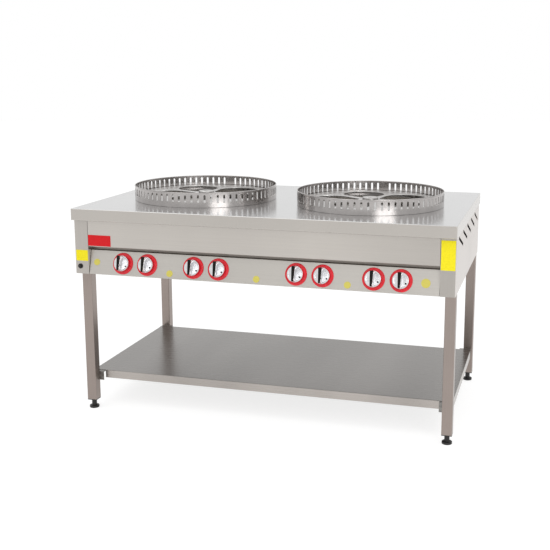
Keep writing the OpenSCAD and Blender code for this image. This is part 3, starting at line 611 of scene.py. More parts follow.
def polished_steel():
    """Flame guards: rolled and buffed stainless strip, glossy, with soft changes of tone and gloss."""
    pair = (shade_of(tint("guard"), 0.9), tint("guard"))
    return mottled("buffed stainless strip", pair, (0.18, 0.25), (40.0 * MM, 9.0 * MM), 0.01 * MM, 1.0)


def star_steel():
    """Pan supports: thick laser-cut steel plate, blasted, darker in soft patches as heat leaves it."""
    pair = (tint("star"), shade_of(tint("star"), 0.8))
    return mottled("blasted steel plate", pair, (0.28, 0.42), (70.0 * MM, 1.6 * MM), 0.05 * MM, 1.0)


def cast_iron():
    """Ring burners: sand-cast iron under silver stove paint, dull and pitted."""
    pair = (linear("#B4B1AD"), linear("#CDCAC6"))
    return mottled("silver-painted cast iron", pair, (0.5, 0.75), (24.0 * MM, 1.8 * MM), 0.3 * MM, 0.2)


def pipe_metal():
    """Manifold and inlet: zinc-plated steel pipe, grey with a faint yellow cast."""
    pair = (linear("#9C988E"), linear("#B6B2A6"))
    return mottled("zinc-plated pipe", pair, (0.3, 0.44), (18.0 * MM, 2.0 * MM), 0.03 * MM, 1.0)


def brass():
    """Taps and feed pipes: turned brass, dulled by handling."""
    pair = (linear("#AE8C4A"), linear("#CBAA66"))
    return mottled("turned brass", pair, (0.22, 0.4), (9.0 * MM, 1.5 * MM), 0.02 * MM, 1.0)


def red_ring():
    """Rings behind the knobs: glossy moulded red plastic with a light clear coat and faint flow marks."""
    pair = (shade_of(tint("ring"), 0.9), shade_of(tint("ring"), 1.1))
    coat = {"Coat Weight": 0.25, "Coat Roughness": 0.05, "Specular IOR Level": 0.35}
    return mottled("glossy red plastic", pair, (0.12, 0.22), (14.0 * MM, 3.0 * MM), 0.01 * MM, **coat)


def knob_chrome():
    """Knob dials and grips: satin chrome on die-cast zinc, rubbed brighter by hands."""
    pair = (shade_of(tint("knob"), 0.86), tint("knob"))
    return mottled("satin chrome", pair, (0.16, 0.28), (12.0 * MM, 1.1 * MM), 0.02 * MM, 1.0)


def black_plastic():
    """Feet, leg plugs and igniter: black moulded plastic with a fine spark-eroded grain."""
    pair = (tint("black"), shade_of(tint("black"), 1.8))
    return mottled("grained black plastic", pair, (0.4, 0.58), (16.0 * MM, 0.9 * MM), 0.05 * MM)


def ceramic():
    """Spark electrodes: glazed white alumina sleeve, sooty in places."""
    pair = (linear("#ECE8E0"), linear("#D6CEC2"))
    return mottled("glazed alumina", pair, (0.18, 0.4), (11.0 * MM, 3.0 * MM), 0.01 * MM)


def lacquered_plate(name, colour):
    """Coloured aluminium plate: even colour with a faint mottle under a thin lacquer."""
    pair = (shade_of(colour, 0.93), shade_of(colour, 1.04))
    coat = {"Coat Weight": 0.1, "Coat Roughness": 0.1, "Specular IOR Level": 0.2}
    return mottled(name, pair, (0.26, 0.4), (5.0 * MM, 1.0 * MM), 0.01 * MM, **coat)


def red_plate():
    """The plain red plate on the fascia."""
    return lacquered_plate("red lacquered plate", tint("badge"))


def yellow_plate():
    """The plain yellow plates: bright on the cheeks, faded where they sit on the sloping panel."""
    material = lacquered_plate("yellow lacquered plate", tint("marker"))
    tree = material.node_tree
    shader = tree.nodes["Principled BSDF"]
    fresh = shader.inputs["Base Color"].links[0].from_socket
    where = put(tree, "ShaderNodeTexCoord").outputs["Object"]
    across = put(tree, "ShaderNodeSeparateXYZ", {"Vector": where}).outputs["X"]
    off_middle = put(tree, "ShaderNodeMath", {0: across}, operation="ABSOLUTE").outputs[0]
    panel_end = corners("control_panel")[1][0]
    ends = {0: off_middle, 1: panel_end}
    on_panel_face = put(tree, "ShaderNodeMath", ends, operation="LESS_THAN").outputs[0]
    shares = {0: on_panel_face, 6: fresh, 7: tint("faded")}
    toned = put(tree, "ShaderNodeMix", shares, data_type="RGBA").outputs[2]
    tree.links.new(toned, shader.inputs["Base Color"])
    return material


def black_inlay():
    """Inlays and marks of the knobs: deep black smooth plastic."""
    pair = (tint("black"), shade_of(tint("black"), 1.4))
    dim = {"Specular IOR Level": 0.15}
    return mottled("smooth black plastic", pair, (0.3, 0.42), (16.0 * MM, 2.0 * MM), 0.01 * MM, **dim)


FINISH_OF = {make.__name__: make for make in (
    top_steel, front_steel, cheek_steel, panel_steel, side_steel, leg_steel, shelf_steel, spindle_steel,
    frame_steel, polished_steel, star_steel, cast_iron, pipe_metal, brass, red_ring, knob_chrome,
    black_plastic, ceramic, red_plate, yellow_plate, black_inlay)}
MADE = {}


def finish(name):
    """The material that the function of this name makes, made once."""
    if name not in MADE:
        MADE[name] = FINISH_OF[name]()
    return MADE[name]


def colour_value(name, description, code):
    """A colour property with its default as an sRGB hex value."""
    return bpy.props.FloatVectorProperty(name=name, description=description, default=linear(code)[:3], size=3,
        subtype="COLOR", min=0.0, max=1.0)


def size_value(name, description, millimetres):
    """A length property with its default in millimetres."""
    return bpy.props.FloatProperty(name=name, description=description, default=millimetres * MM, min=0.0,
        unit="LENGTH", precision=4)


class StoveColours(bpy.types.PropertyGroup):
    """Colours of the stove's finishes."""

    top: colour_value("Worktop", "Colour of the worktop's steel", "#C2C2C2")
    front: colour_value("Fascia", "Colour of the fascia's and cheeks' steel", "#C1BCB6")
    panel: colour_value("Control panel", "Colour of the sloping panel's steel", "#BFBBB5")
    # Painted shade: the dark colour given to the panel's fold in the shadow gap.
    fold: colour_value("Panel fold", "Colour of the panel's fold behind the fascia", "#827C76")
    side: colour_value("Sides", "Colour of the side and rear sheets", "#D4CFCB")
    leg: colour_value("Legs", "Colour of the legs' steel", "#978C86")
    # Painted shade: the undershelf's top face is given a dark colour for the shade under the stove, its folds a
    # lighter one.
    shelf: colour_value("Undershelf", "Colour of the undershelf's top face", "#827F7C")
    shelf_lip: colour_value("Undershelf lip", "Colour of the undershelf's folded edges", "#AAA49F")
    guard: colour_value("Flame guards", "Colour of the polished guards", "#B4B0AE")
    star: colour_value("Pan supports", "Colour of the star plates", "#C8C6C4")
    ring: colour_value("Knob rings", "Colour of the glossy rings behind the knobs", "#DE1628")
    knob: colour_value("Knobs", "Colour of the knobs' chrome", "#DEDEE0")
    black: colour_value("Black plastic", "Colour of the feet and inlays", "#0E0C0B")
    badge: colour_value("Red plate", "Colour of the plain red plate", "#D4141C")
    marker: colour_value("Yellow plates", "Colour of the plain yellow plates on the cheeks", "#F2E21C")
    faded: colour_value("Faded plates", "Colour of the round plates on the panel", "#CFC460")


class StoveSizes(bpy.types.PropertyGroup):
    """Sizes of the stove's bends, edges and small turned forms."""

    top_bend: size_value("Worktop bend", "Outside radius of the worktop's folded edge", 3.0)
    sheet_bend: size_value("Sheet bend", "Outside radius of the other folded edges", 2.0)
    star_edge: size_value("Pan support edge", "Bevel on the pan support's edges", 0.8)
    ring_edge: size_value("Knob ring edge", "Rounding of the red rings' edges", 0.9)
    dial_edge: size_value("Dial edge", "Rounding of the knobs' dials", 1.4)
    inlay_margin: size_value("Inlay margin", "Rim of chrome round a grip's black inlay", 0.3)
    foot_edge: size_value("Foot edge", "Rounding of the feet", 1.5)


def fan(start, stop, count):
    """Directions turning from one angle to another."""
    turn = np.radians(np.linspace(start, stop, count))
    return np.stack([np.cos(turn), np.sin(turn)], axis=-1)


def worktop_half(bend):
    """The right half of the worktop: flat sheet ruled by rays from the well, folded edge and return.

    The folded edge carries a profile of (reach, height) outwards from the flat's border, column by column. At
    the two outer corners one border point has a fan of directions, which makes the corner round.
    """
    ray_count, corner_steps = 144, 7
    low, high = corners("worktop")
    centre = middle("flame_guard_right")[:2]
    inset = bend + SHEET_MARGIN
    border_low, border_high = np.array([0.0, low[1] + inset]) - centre, high[:2] - inset - centre
    reach, corner_angles = box_reach(border_low[0], border_high[0], border_low[1], border_high[1])
    turn = np.append(np.linspace(-np.pi, np.pi, ray_count, endpoint=False), corner_angles)
    turn = np.unique(np.round(turn, DIGITS))
    rays = np.stack([np.cos(turn), np.sin(turn)], axis=-1)
    hole = WELL_RADIUS * rays
    flat = hole_cell(hole, reach, corner_angles, (0.0, 0.25, 1.0)) + centre
    border = flat[-1]
    flat = np.concatenate([flat, np.full(flat.shape[:2] + (1,), high[2])], axis=-1)
    lip_end = low[2] + inset
    front = border[np.abs(border[:, 1] - low[1] - inset) < ON_EDGE]
    rear = border[np.abs(border[:, 1] - high[1] + inset) < ON_EDGE]
    right = border[np.abs(border[:, 0] - high[0] + inset) < ON_EDGE]
    front, rear = front[np.argsort(front[:, 0])], rear[np.argsort(-rear[:, 0])]
    right = right[np.argsort(right[:, 1])]
    turning = ((-90, -90, len(front)), (-90, 0, corner_steps), (0, 0, len(right)), (0, 90, corner_steps),
        (90, 90, len(rear)))
    outward = np.concatenate([fan(*turns) for turns in turning])
    front_corner, rear_corner = (np.repeat(end, corner_steps, 0) for end in (front[-1:], rear[:1]))
    start = np.concatenate([front, front_corner, right, rear_corner, rear])
    edge = arc_path([(0.0, high[2]), (inset, high[2]), (inset, lip_end)], bend)
    skirt = np.array([(inset, lip_end), (inset, low[2])])

    def folded(profile, first):
        grid = np.empty((len(profile), len(start) - first, 3))
        grid[..., :2] = start[first:] + outward[first:] * profile[:, :1, None]
        grid[..., 2] = profile[:, 1:]
        return grid

    inward = arc_path([(low[1], lip_end), (low[1], low[2]), (low[1] + HEM, low[2])], bend)
    hem = along_x(inward, front[:, 0])
    return [(flat, True), (folded(edge, 0), False), (folded(skirt, len(front)), False), (hem, False)]


class STOVE_OT_worktop(bpy.types.Operator):
    """Folds the worktop's edges and cuts its wells."""

    bl_idname = "stove.worktop"
    bl_label = "Worktop"

    def execute(self, context):
        half = worktop_half(context.scene.stove_sizes.top_bend)
        mirrored = [(grid * np.array([-1.0, 1.0, 1.0]), wrap) for grid, wrap in half]
        make_piece("worktop_sheet", half + mirrored, "top_steel", stands_for=["worktop"], wall=TOP_WALL,
            inside=(0.0, 0.0, 0.5))
        return {"FINISHED"}


class STOVE_OT_fronts(bpy.types.Operator):
    """Folds the fascia and the pierced control panel."""

    bl_idname = "stove.fronts"
    bl_label = "Fascia and control panel"

    def execute(self, context):
        bend = context.scene.stove_sizes.sheet_bend
        low, high = corners("front_fascia")
        path = [(high[1], low[2]), (low[1], low[2]), (low[1], high[2]), (low[1] + FLANGE, high[2])]
        fascia = along_x(arc_path(path, bend), np.linspace(low[0], high[0], 9))
        make_piece("fascia_sheet", [(fascia, False)], "front_steel", stands_for=["front_fascia"],
            wall=SHEET_WALL, inside=(0.0, high[1], (low[2] + high[2]) / 2.0))
        self.control_panel(bend)
        return {"FINISHED"}

    def control_panel(self, bend):
        """The sloping face is a band of pierced cells; folds run on from its long edges.

        The flat ends just before the folds' bends, which start less than 1.35 radii from the face's edges.
        """
        bend_reach, half_width, hole_radius = 1.35 * bend, 40.0 * MM, 7.3 * MM
        low, high = corners("control_panel")
        places = [panel_place(k + 1) for k in range(KNOB_COUNT)]
        origin, _, up, _ = places[0]
        half_face = (origin[2] - low[2]) / up[2]
        top = origin + half_face * up
        flat_half = half_face - bend_reach - SHEET_MARGIN
        centres = np.array([place[0][0] for place in places])
        hole = circle_outline(hole_radius, 24)
        cells, on_long, on_side = punched_band(centres, half_width, -flat_half, flat_half, hole)
        ends = [low[0], *np.stack([centres - half_width, centres + half_width], axis=-1).ravel(), high[0]]
        plain = []
        for start, stop in zip(ends[::2], ends[1::2]):
            sides = np.meshgrid([start, stop], on_side)
            plain.append(np.stack(sides, axis=-1))
        surfaces = []
        for cell, wrap in [(cell, True) for cell in cells] + [(strip, False) for strip in plain]:
            placed = np.empty(cell.shape[:2] + (3,))
            placed[..., 0] = cell[..., 0]
            placed[..., 1:] = origin[1:] + cell[..., 1:] * up[1:]
            surfaces.append((placed, wrap))
        columns = np.unique(np.round(np.append(spread(centres, on_long), [low[0], high[0]]), 8))
        face_low, face_high = origin - flat_half * up, origin + flat_half * up
        lower = [face_low[1:], (low[1], low[2]), (low[1] + FLANGE, low[2])]
        upper = [face_high[1:], top[1:], (high[1] - SHEET_WALL, top[2]), (high[1] - SHEET_WALL, high[2])]
        for path in (lower, upper):
            surfaces.append((along_x(arc_path(path, bend), columns), False))
        make_piece("control_panel_sheet", surfaces, "panel_steel", stands_for=["control_panel"],
            wall=SHEET_WALL, inside=(0.0, high[1] + 0.05, (low[2] + high[2]) / 2.0))


class STOVE_OT_undershelf(bpy.types.Operator):
    """Folds the undershelf's edges."""

    bl_idname = "stove.undershelf"
    bl_label = "Undershelf"

    def execute(self, context):
        bend = context.scene.stove_sizes.sheet_bend
        low, high = corners("undershelf")
        # The lips leave the corners free for the legs: the long ones end 48 mm inside the brackets' outer
        # sides, the short ones 316 mm from the shelf's middle line.
        centre_y, reach_y = middle("undershelf")[1], 316.0 * MM
        lip_x = corners("shelf_brackets")[1][0] - 48.0 * MM
        front = [(low[1] + HEM, low[2]), (low[1], low[2]), (low[1], high[2])]
        path = front + [(2.0 * centre_y - y, z) for y, z in reversed(front)]
        surfaces = [(along_x(arc_path(path, bend), np.linspace(-lip_x, lip_x, 9)), False)]
        ends = ((low[1], centre_y - reach_y), (centre_y + reach_y, high[1]))
        for side in (-1.0, 1.0):
            fold = arc_path([(lip_x, high[2]), (high[0], high[2]), (high[0], low[2])], bend)
            deep = np.linspace(ends[0][1], ends[1][0], 7)
            end = np.empty((len(fold), len(deep), 3))
            end[..., 0], end[..., 1], end[..., 2] = side * fold[:, :1], deep, fold[:, 1:]
            surfaces.append((end, False))
            for y_start, y_end in ends:
                x, y = np.meshgrid([lip_x, fold[1, 0], high[0]], [y_start, y_end])
                surfaces.append((np.stack([side * x, y, np.full_like(x, high[2])], axis=-1), False))
        make_piece("undershelf_sheet", surfaces, "shelf_steel", stands_for=["undershelf"], wall=SHEET_WALL,
            inside=(0.0, centre_y, low[2]))
        return {"FINISHED"}


class STOVE_OT_flame_guards(bpy.types.Operator):
    """Rolls the slotted flame guards with their feet and beaded rims."""

    bl_idname = "stove.flame_guards"
    bl_label = "Flame guards"

    def execute(self, context):
        places, slot_length, slot_width = 72, 32.0 * MM, 8.0 * MM
        slot_height, rim, foot = 35.0 * MM, 2.0 * MM, 16.0 * MM
        for side in SIDES:
            node = f"flame_guard_{side}"
            low, high = corners(node)
            axis = upright_axis(node)
            radius = (high[0] - low[0]) / 2.0 - rim + TOP_WALL / 2.0
            pitch = 2.0 * np.pi * radius / places
            band_low, band_high = low[2] + rim + SHEET_MARGIN, high[2] - rim
            level = low[2] + slot_height
            cells, on_long, _ = punched_band(pitch * np.arange(places), pitch / 2.0, band_low - level,
                band_high - level, slot_outline(slot_length, slot_width), blanks=(0,))
            surfaces = []
            for cell in cells:
                angle = np.pi / 2.0 + cell[..., 0] / radius
                ring = np.empty(cell.shape[:2] + (3,))
                ring[..., 0], ring[..., 1] = radius * np.cos(angle), radius * np.sin(angle)
                ring[..., 2] = cell[..., 1] + level
                surfaces.append((ring + axis, True))
            steps = spread(pitch * np.arange(places), on_long[:-1]) / radius
            turn = np.unique(np.round(np.pi / 2.0 + steps, DIGITS))
            path = [(radius - foot, low[2]), (radius, low[2]), (radius, band_low)]
            surfaces.append((turned(arc_path(path, rim), axis, (0, 0, 1), turn), True))
            wall = make_piece(node + "_strip", surfaces, "polished_steel", stands_for=[node], wall=TOP_WALL,
                inside=(*axis[:2], level))
            shade_round(wall, axis[:2])
            bead = np.linspace(0.0, 2.0 * np.pi, 17)
            round_it = np.stack([np.cos(bead), np.sin(bead)], axis=-1)
            profile = np.array([radius - TOP_WALL / 2.0, high[2] - rim]) + rim * round_it
            make_piece(node + "_rim", [(turned(profile, axis, (0, 0, 1), 3 * places), True)],
                "polished_steel", slot="polished_steel")
        return {"FINISHED"}


def star_opening(inner, outer, middle_at):
    """The outline of an opening, seen from its middle: two circles and their common tangents.

    Each circle is (distance from the hub, radius).
    """
    (d_in, r_in), (d_out, r_out) = inner, outer
    lean = math.acos((r_in - r_out) / (d_out - d_in))
    wide, narrow = np.linspace(-lean, lean, 33), np.linspace(lean, 2.0 * np.pi - lean, 13)
    arcs = [np.stack([d + r * np.cos(t) - middle_at, r * np.sin(t)], axis=-1)
        for d, r, t in ((d_out, r_out, wide), (d_in, r_in, narrow))]
    return np.concatenate(arcs)


def star_sector(arms, hub, rim, opening, middle_at, rows):
    """The plate between the middles of two arms, seen from its opening.

    A ray ends where it first meets the middle line of an arm, the outer circle or the hub's circle.
    """
    half = np.pi / arms
    signs = np.array([[-1.0], [1.0], [-1.0], [1.0]])
    radii = np.array([[hub], [hub], [rim], [rim]])
    ends = np.concatenate([radii * np.cos(half) - middle_at, signs * radii * np.sin(half)], axis=1)
    hub_span = abs(math.atan2(ends[1, 1], ends[1, 0]))

    def reach(rays):
        x, y = rays[:, 0], rays[:, 1]
        to_rim = -middle_at * x + np.sqrt((middle_at * x) ** 2 + rim**2 - middle_at**2)
        gap = (middle_at * x) ** 2 + hub**2 - middle_at**2
        to_hub = np.where((gap > 0.0) & (x < 0.0), -middle_at * x - np.sqrt(np.maximum(gap, 0.0)), np.inf)
        away = np.abs(y) * np.cos(half) - x * np.sin(half)
        to_arm = np.where(away > TINY, middle_at * np.sin(half) / np.maximum(away, TINY), np.inf)
        to_hub = np.where(np.abs(np.arctan2(y, x)) >= hub_span - TINY, to_hub, np.inf)
        return np.minimum(np.minimum(to_rim, to_arm), to_hub)

    return hole_cell(opening, reach, np.arctan2(ends[:, 1], ends[:, 0]), rows) + np.array([middle_at, 0.0])


class STOVE_OT_pan_supports(bpy.types.Operator):
    """Cuts the star-shaped pan supports and turns their hubs."""

    bl_idname = "stove.pan_supports"
    bl_label = "Pan supports"

    def execute(self, context):
        edge = context.scene.stove_sizes.star_edge
        arms, thick, up = 5, 5.0 * MM, 10.0 * MM
        turns = {"left": 16.0, "right": 3.0}
        bore, hub, chamfer, top_chamfer = 10.05 * MM, 32.0 * MM, 1.0 * MM, 2.0 * MM
        hole_in, hole_out = (72.0 * MM, 26.32 * MM), (160.0 * MM, 84.05 * MM)
        opening = star_opening(hole_in, hole_out, hole_out[0])
        for side in SIDES:
            node = f"pan_support_{side}"
            low, high = corners(node)
            axis = upright_axis(node)
            rim = (high[1] - low[1]) / 2.0
            top = high[2] - up
            sector = star_sector(arms, hub - chamfer, rim, opening, hole_out[0], (0.0, 1.0))
            surfaces = []
            for arm in range(arms):
                angle = math.radians(turns[side] + (arm + 0.5) * 360.0 / arms)
                spin = np.array([[math.cos(angle), math.sin(angle)], [-math.sin(angle), math.cos(angle)]])
                plate = np.full(sector.shape[:2] + (3,), top)
                plate[..., :2] = sector @ spin
                surfaces.append((plate + axis, True))
            make_piece(node + "_plate", surfaces, "star_steel", body=node, stands_for=[node], wall=thick,
                inside=(*axis[:2], low[2]), edge=edge)
            inner = [(bore + chamfer, high[2]), (bore, high[2] - chamfer), (bore, low[2])]
            outer = [(bore, low[2]), (hub - chamfer, low[2]), (hub, low[2] + chamfer)]
            profile = outer + [(hub, high[2] - top_chamfer), (hub - top_chamfer, high[2])] + inner
            make_piece(node + "_hub", [(turned(profile, axis, (0, 0, 1), 72), True)], "star_steel", body=node,
                slot="star_steel", crease=30.0)
        return {"FINISHED"}


class STOVE_OT_knobs(bpy.types.Operator):
    """Turns the knobs' dials and red rings and moulds their grips and inlays."""

    bl_idname = "stove.knobs"
    bl_label = "Knobs"

    def execute(self, context):
        sizes = context.scene.stove_sizes
        for k in range(1, KNOB_COUNT + 1):
            self.one_knob(k, sizes)
        profile = self.ring_profile(sizes.ring_edge)
        rings = [(on_panel_turned(profile, k, 72), True) for k in range(1, KNOB_COUNT + 1)]
        make_piece("knob_rings", rings, "red_ring", stands_for=["knob_bezels"], crease=50.0)
        return {"FINISHED"}

    def ring_profile(self, edge):
        """A closed profile with a leaning outer flank."""
        inner, outer, thick = 25.0 * MM, 42.5 * MM, 4.0 * MM
        flank = [(outer, 0.0), (outer, 1.6 * MM), (outer - 2.2 * MM, thick)]
        return arc_path([(inner, 0.0), *flank, (inner, thick), (inner, 0.0)], edge, 4, SMALL_MARGIN)

    def one_knob(self, k, sizes):
        """A dished dial with a tapered grip, a black inlay on the grip's face and a small black mark."""
        place, body, edge = panel_place(k), f"knob_{k}", sizes.dial_edge
        bore, rim, low, top, face = 4.1 * MM, 30.5 * MM, 8.5 * MM, 20.0 * MM, 48.0 * MM
        low_half, high_half, reach, corner = 4.5 * MM, 7.0 * MM, 29.0 * MM, 3.0 * MM
        mark_angle, mark_at = math.radians(-28.0), 22.5 * MM
        dish = [(rim, top), (rim - 5.0 * MM, top), (rim - 7.0 * MM, top - 0.8 * MM)]
        path = [(bore, low), (rim, low), *dish]
        dial = np.concatenate([arc_path(path, edge, 5, SMALL_MARGIN), [(0.0, top - 0.5 * MM)]])
        outline, outward = round_outline(low_half, high_half, reach, corner)
        levels = np.array([(0.0, 18.9), (0.0, 45.5), (0.35, 46.8), (0.9, 47.4), (1.4, 47.6)]) * MM
        grip = raised(outline, outward, levels)
        surfaces = [(on_panel_turned(dial, k, 72), True), (on_panel(grip, place), True)]
        make_piece(f"{body}_handle", surfaces, "knob_chrome", body=body, stands_for=[body], crease=45.0)
        margin = sizes.inlay_margin
        inlay = raised(outline - outward * margin, outward,
            [(0.0, face - 1.4 * MM), (0.0, face - 0.2 * MM), (0.4 * MM, face)])
        dot = np.array([(0.0, -1.1), (3.4, -1.1), (3.4, 0.1), (0.0, 0.2)]) * MM + np.array([0.0, top])
        shift = np.array([math.cos(mark_angle), math.sin(mark_angle), 0.0]) * mark_at
        mark = turned(dot, (0, 0, 0), (0, 0, 1), 20) + shift
        black = [(on_panel(inlay, place), True), (on_panel(mark, place), True)]
        make_piece(f"{body}_inlay", black, "black_inlay", body=body, slot="black_plastic", crease=45.0)


class STOVE_OT_small_parts(bpy.types.Operator):
    """Turns the feet and the igniter."""

    bl_idname = "stove.small_parts"
    bl_label = "Feet and igniter"

    def execute(self, context):
        edge = context.scene.stove_sizes.foot_edge
        for node in ("foot_front_left", "foot_front_right", "foot_rear_left", "foot_rear_right"):
            axis, top = upright_axis(node), corners(node)[1][2]
            rim, neck, stem = 19.5 * MM, 10.0 * MM, 5.0 * MM
            disc, shoulder = 9.0 * MM, top - 66.0 * MM
            path = [(0.0, 0.0), (rim, 0.0), (rim, disc), (neck, disc + 2.0 * MM), (neck, shoulder),
                (stem, shoulder), (stem, top), (0.0, top)]
            profile = arc_path(path, edge, 4, SMALL_MARGIN)
            make_piece(node + "_moulding", [(turned(profile, axis, (0, 0, 1), 48), True)], "black_plastic",
                body=node, stands_for=[node])
        joint = JOINTS["press_igniter"]
        origin, out = np.array(joint["pos_m"]), -unit(joint["axis"])
        bore, barrel, rim, inside, thick = 5.05 * MM, 8.0 * MM, 10.0 * MM, -14.0 * MM, 3.0 * MM
        flange = [(bore, inside), (barrel, inside), (barrel, 0.0), (rim, 0.0), (rim, thick), (bore, thick),
            (bore, inside)]
        collar = turned(arc_path(flange, 0.8 * MM, 4, SMALL_MARGIN), origin, out, 40)
        make_piece("igniter_collar", [(collar, True)], "black_plastic", stands_for=["igniter_body"])
        radius, inside, face = 5.0 * MM, -12.0 * MM, 8.0 * MM
        cap = [(0.0, inside), (radius, inside), (radius, face), (0.0, face)]
        button = turned(arc_path(cap, 1.4 * MM, 5, SMALL_MARGIN), origin, out, 40)
        make_piece("igniter_push_button", [(button, True)], "black_plastic", body="igniter_button",
            stands_for=["igniter_button"])
        return {"FINISHED"}


class STOVE_OT_solid_finishes(bpy.types.Operator):
    """Gives every solid that stays as it is the finish of its own material."""

    bl_idname = "stove.solid_finishes"
    bl_label = "Finishes of the solids"

    def execute(self, context):
        own = {"left_side_panel": "side_steel", "right_side_panel": "side_steel", "rear_panel": "side_steel",
            "left_cheek": "cheek_steel", "right_cheek": "cheek_steel"}
        for node, solid in frame["nodes"].items():
            if solid.hide_render:
                continue
            coating = finish(own.get(node) or NODE_SLOT[node])
            if not solid.material_slots:
                raise RuntimeError(f"{node} has no material slot")
            for place in solid.material_slots:
                place.material = coating
        return {"FINISHED"}


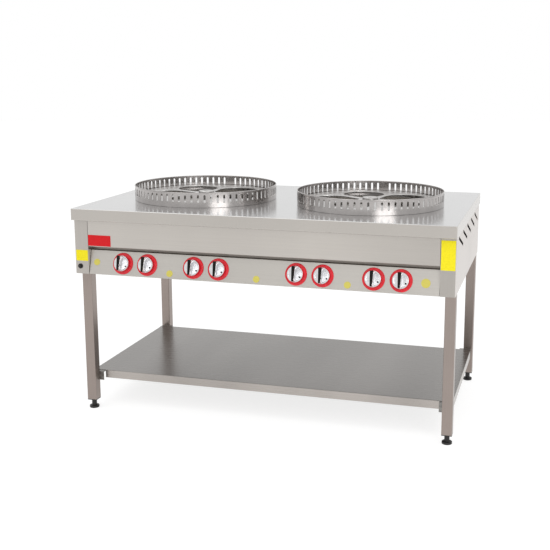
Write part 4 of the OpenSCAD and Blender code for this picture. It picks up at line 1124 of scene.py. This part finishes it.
class STOVE_OT_stage(bpy.types.Operator):
    """Lays the pale floor, sets the soft studio light and places the camera."""

    bl_idname = "stove.stage"
    bl_label = "Stage"

    def execute(self, context):
        self.floor(context)
        self.sky(context)
        self.lamp(context, "key light", (-2.0, -2.4, 5.4), 4.5, 80.0)
        self.lamp(context, "fill light", (3.0, -0.8, 4.8), 4.0, 30.0)
        self.lamp(context, "low light", (2.35, -3.1, 1.7), 1.8, 30.0)
        self.camera(context)
        return {"FINISHED"}

    def seen_directly(self, tree):
        """1 for camera, glossy and transmission rays, else 0."""
        path = put(tree, "ShaderNodeLightPath").outputs
        pair = {0: path["Is Camera Ray"], 1: path["Is Glossy Ray"]}
        seen = put(tree, "ShaderNodeMath", pair, operation="MAXIMUM").outputs[0]
        pair = {0: seen, 1: path["Is Transmission Ray"]}
        return put(tree, "ShaderNodeMath", pair, operation="MAXIMUM").outputs[0]

    def floor(self, context):
        """A wide disc that lights the stove as white paper does and is seen white, with the stove's shadow.

        Seen directly it gives off three quarters of white and reflects the rest, so only shadows darken it.
        """
        material = bpy.data.materials.new("white studio floor")
        material.use_nodes = True
        tree = material.node_tree
        tree.nodes.clear()
        paper = put(tree, "ShaderNodeBsdfDiffuse", {"Color": linear("#F2F2F0")}).outputs[0]
        thin = put(tree, "ShaderNodeBsdfDiffuse", {"Color": linear("#A6A6A6")}).outputs[0]
        glow = put(tree, "ShaderNodeEmission", {"Strength": 0.75}).outputs[0]
        both = put(tree, "ShaderNodeAddShader", {0: thin, 1: glow}).outputs[0]
        shares = {0: self.seen_directly(tree), 1: paper, 2: both}
        mixed = put(tree, "ShaderNodeMixShader", shares).outputs[0]
        put(tree, "ShaderNodeOutputMaterial", {"Surface": mixed})
        radius = np.array([0.0, 2.0, 6.0, 20.0])
        disc = turned(np.stack([radius, np.zeros(4)], axis=-1), (0, 0, 0), (0, 0, 1), 64)
        shell = mesh_from([(disc, True)])
        face_away(shell, (0.0, 0.0, -1.0))
        mesh = bpy.data.meshes.new("studio_floor")
        shell.to_mesh(mesh)
        shell.free()
        mesh.materials.append(material)
        floor = bpy.data.objects.new("studio_floor", mesh)
        context.scene.collection.objects.link(floor)
        floor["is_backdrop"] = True

    def sky(self, context):
        """White where it is seen or mirrored, and softer where it lights matt surfaces."""
        world = bpy.data.worlds.new("soft studio")
        world.use_nodes = True
        tree = world.node_tree
        tree.nodes.clear()
        levels = {"Value": self.seen_directly(tree), "To Min": 0.75, "To Max": 1.0}
        strength = put(tree, "ShaderNodeMapRange", levels).outputs["Result"]
        white = {"Color": linear("#FFFFFF"), "Strength": strength}
        light = put(tree, "ShaderNodeBackground", white).outputs[0]
        put(tree, "ShaderNodeOutputWorld", {"Surface": light})
        context.scene.world = world

    def lamp(self, context, name, place, size, power):
        """A square soft box that faces the stove's middle."""
        aim = Vector((0.0, 0.0, 0.6))
        data = bpy.data.lights.new(name, "AREA")
        data.shape = "SQUARE"
        data.size = size
        data.energy = power
        lamp = bpy.data.objects.new(name, data)
        lamp.location = place
        lamp.rotation_euler = (aim - Vector(place)).to_track_quat("-Z", "Y").to_euler()
        context.scene.collection.objects.link(lamp)

    def camera(self, context):
        """The photograph's view: lens and shift in pixels of a 550 by 550 image."""
        yaw, pitch, roll = (math.radians(angle) for angle in (14.896, 10.659, 0.159))
        focal, centre_x, centre_y = 942.47, 313.07, 239.99
        data = bpy.data.cameras.new("photo camera")
        data.sensor_width = 36.0
        data.lens = focal / IMAGE_SIZE * data.sensor_width
        data.shift_x = (IMAGE_SIZE / 2.0 - centre_x) / IMAGE_SIZE
        data.shift_y = (centre_y - IMAGE_SIZE / 2.0) / IMAGE_SIZE
        data.clip_start, data.clip_end = 0.1, 100.0
        camera = bpy.data.objects.new("photo camera", data)
        camera.location = (1.0965, -3.7129, 1.4006)
        back = Vector((math.sin(yaw) * math.cos(pitch), -math.cos(yaw) * math.cos(pitch), math.sin(pitch)))
        aimed = (-back).to_track_quat("-Z", "Y")
        camera.rotation_mode = "QUATERNION"
        camera.rotation_quaternion = aimed @ Quaternion((0.0, 0.0, 1.0), roll)
        context.scene.collection.objects.link(camera)
        context.scene.camera = camera
        context.scene.view_settings.view_transform = "Standard"


STEPS = (
    STOVE_OT_worktop,
    STOVE_OT_fronts,
    STOVE_OT_undershelf,
    STOVE_OT_flame_guards,
    STOVE_OT_pan_supports,
    STOVE_OT_knobs,
    STOVE_OT_small_parts,
    STOVE_OT_solid_finishes,
    STOVE_OT_stage,
)


class STOVE_PT_panel(bpy.types.Panel):
    """The stove's sizes, colours and steps in the sidebar."""

    bl_idname = "STOVE_PT_panel"
    bl_label = "Gas stove"
    bl_space_type = "VIEW_3D"
    bl_region_type = "UI"
    bl_category = "Stove"

    def draw(self, context):
        for group in (context.scene.stove_sizes, context.scene.stove_colours):
            box = self.layout.box()
            for name in type(group).__annotations__:
                box.prop(group, name)
        for step in STEPS:
            self.layout.operator(step.bl_idname)


CLASSES = (StoveColours, StoveSizes, *STEPS, STOVE_PT_panel)


def register():
    for item in CLASSES:
        bpy.utils.register_class(item)
    bpy.types.Scene.stove_colours = bpy.props.PointerProperty(type=StoveColours)
    bpy.types.Scene.stove_sizes = bpy.props.PointerProperty(type=StoveSizes)


def unregister():
    del bpy.types.Scene.stove_sizes
    del bpy.types.Scene.stove_colours
    for item in reversed(CLASSES):
        bpy.utils.unregister_class(item)


def main():
    """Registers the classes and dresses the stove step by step."""
    register()
    for step in STEPS:
        getattr(bpy.ops.stove, step.bl_idname.split(".")[1])()
    both = {"cad": CAD_BOUNDS, "visual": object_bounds()}
    boxes = {name: [list(corner) for corner in box] for name, box in both.items()}


if __name__ == "__main__":
    main()
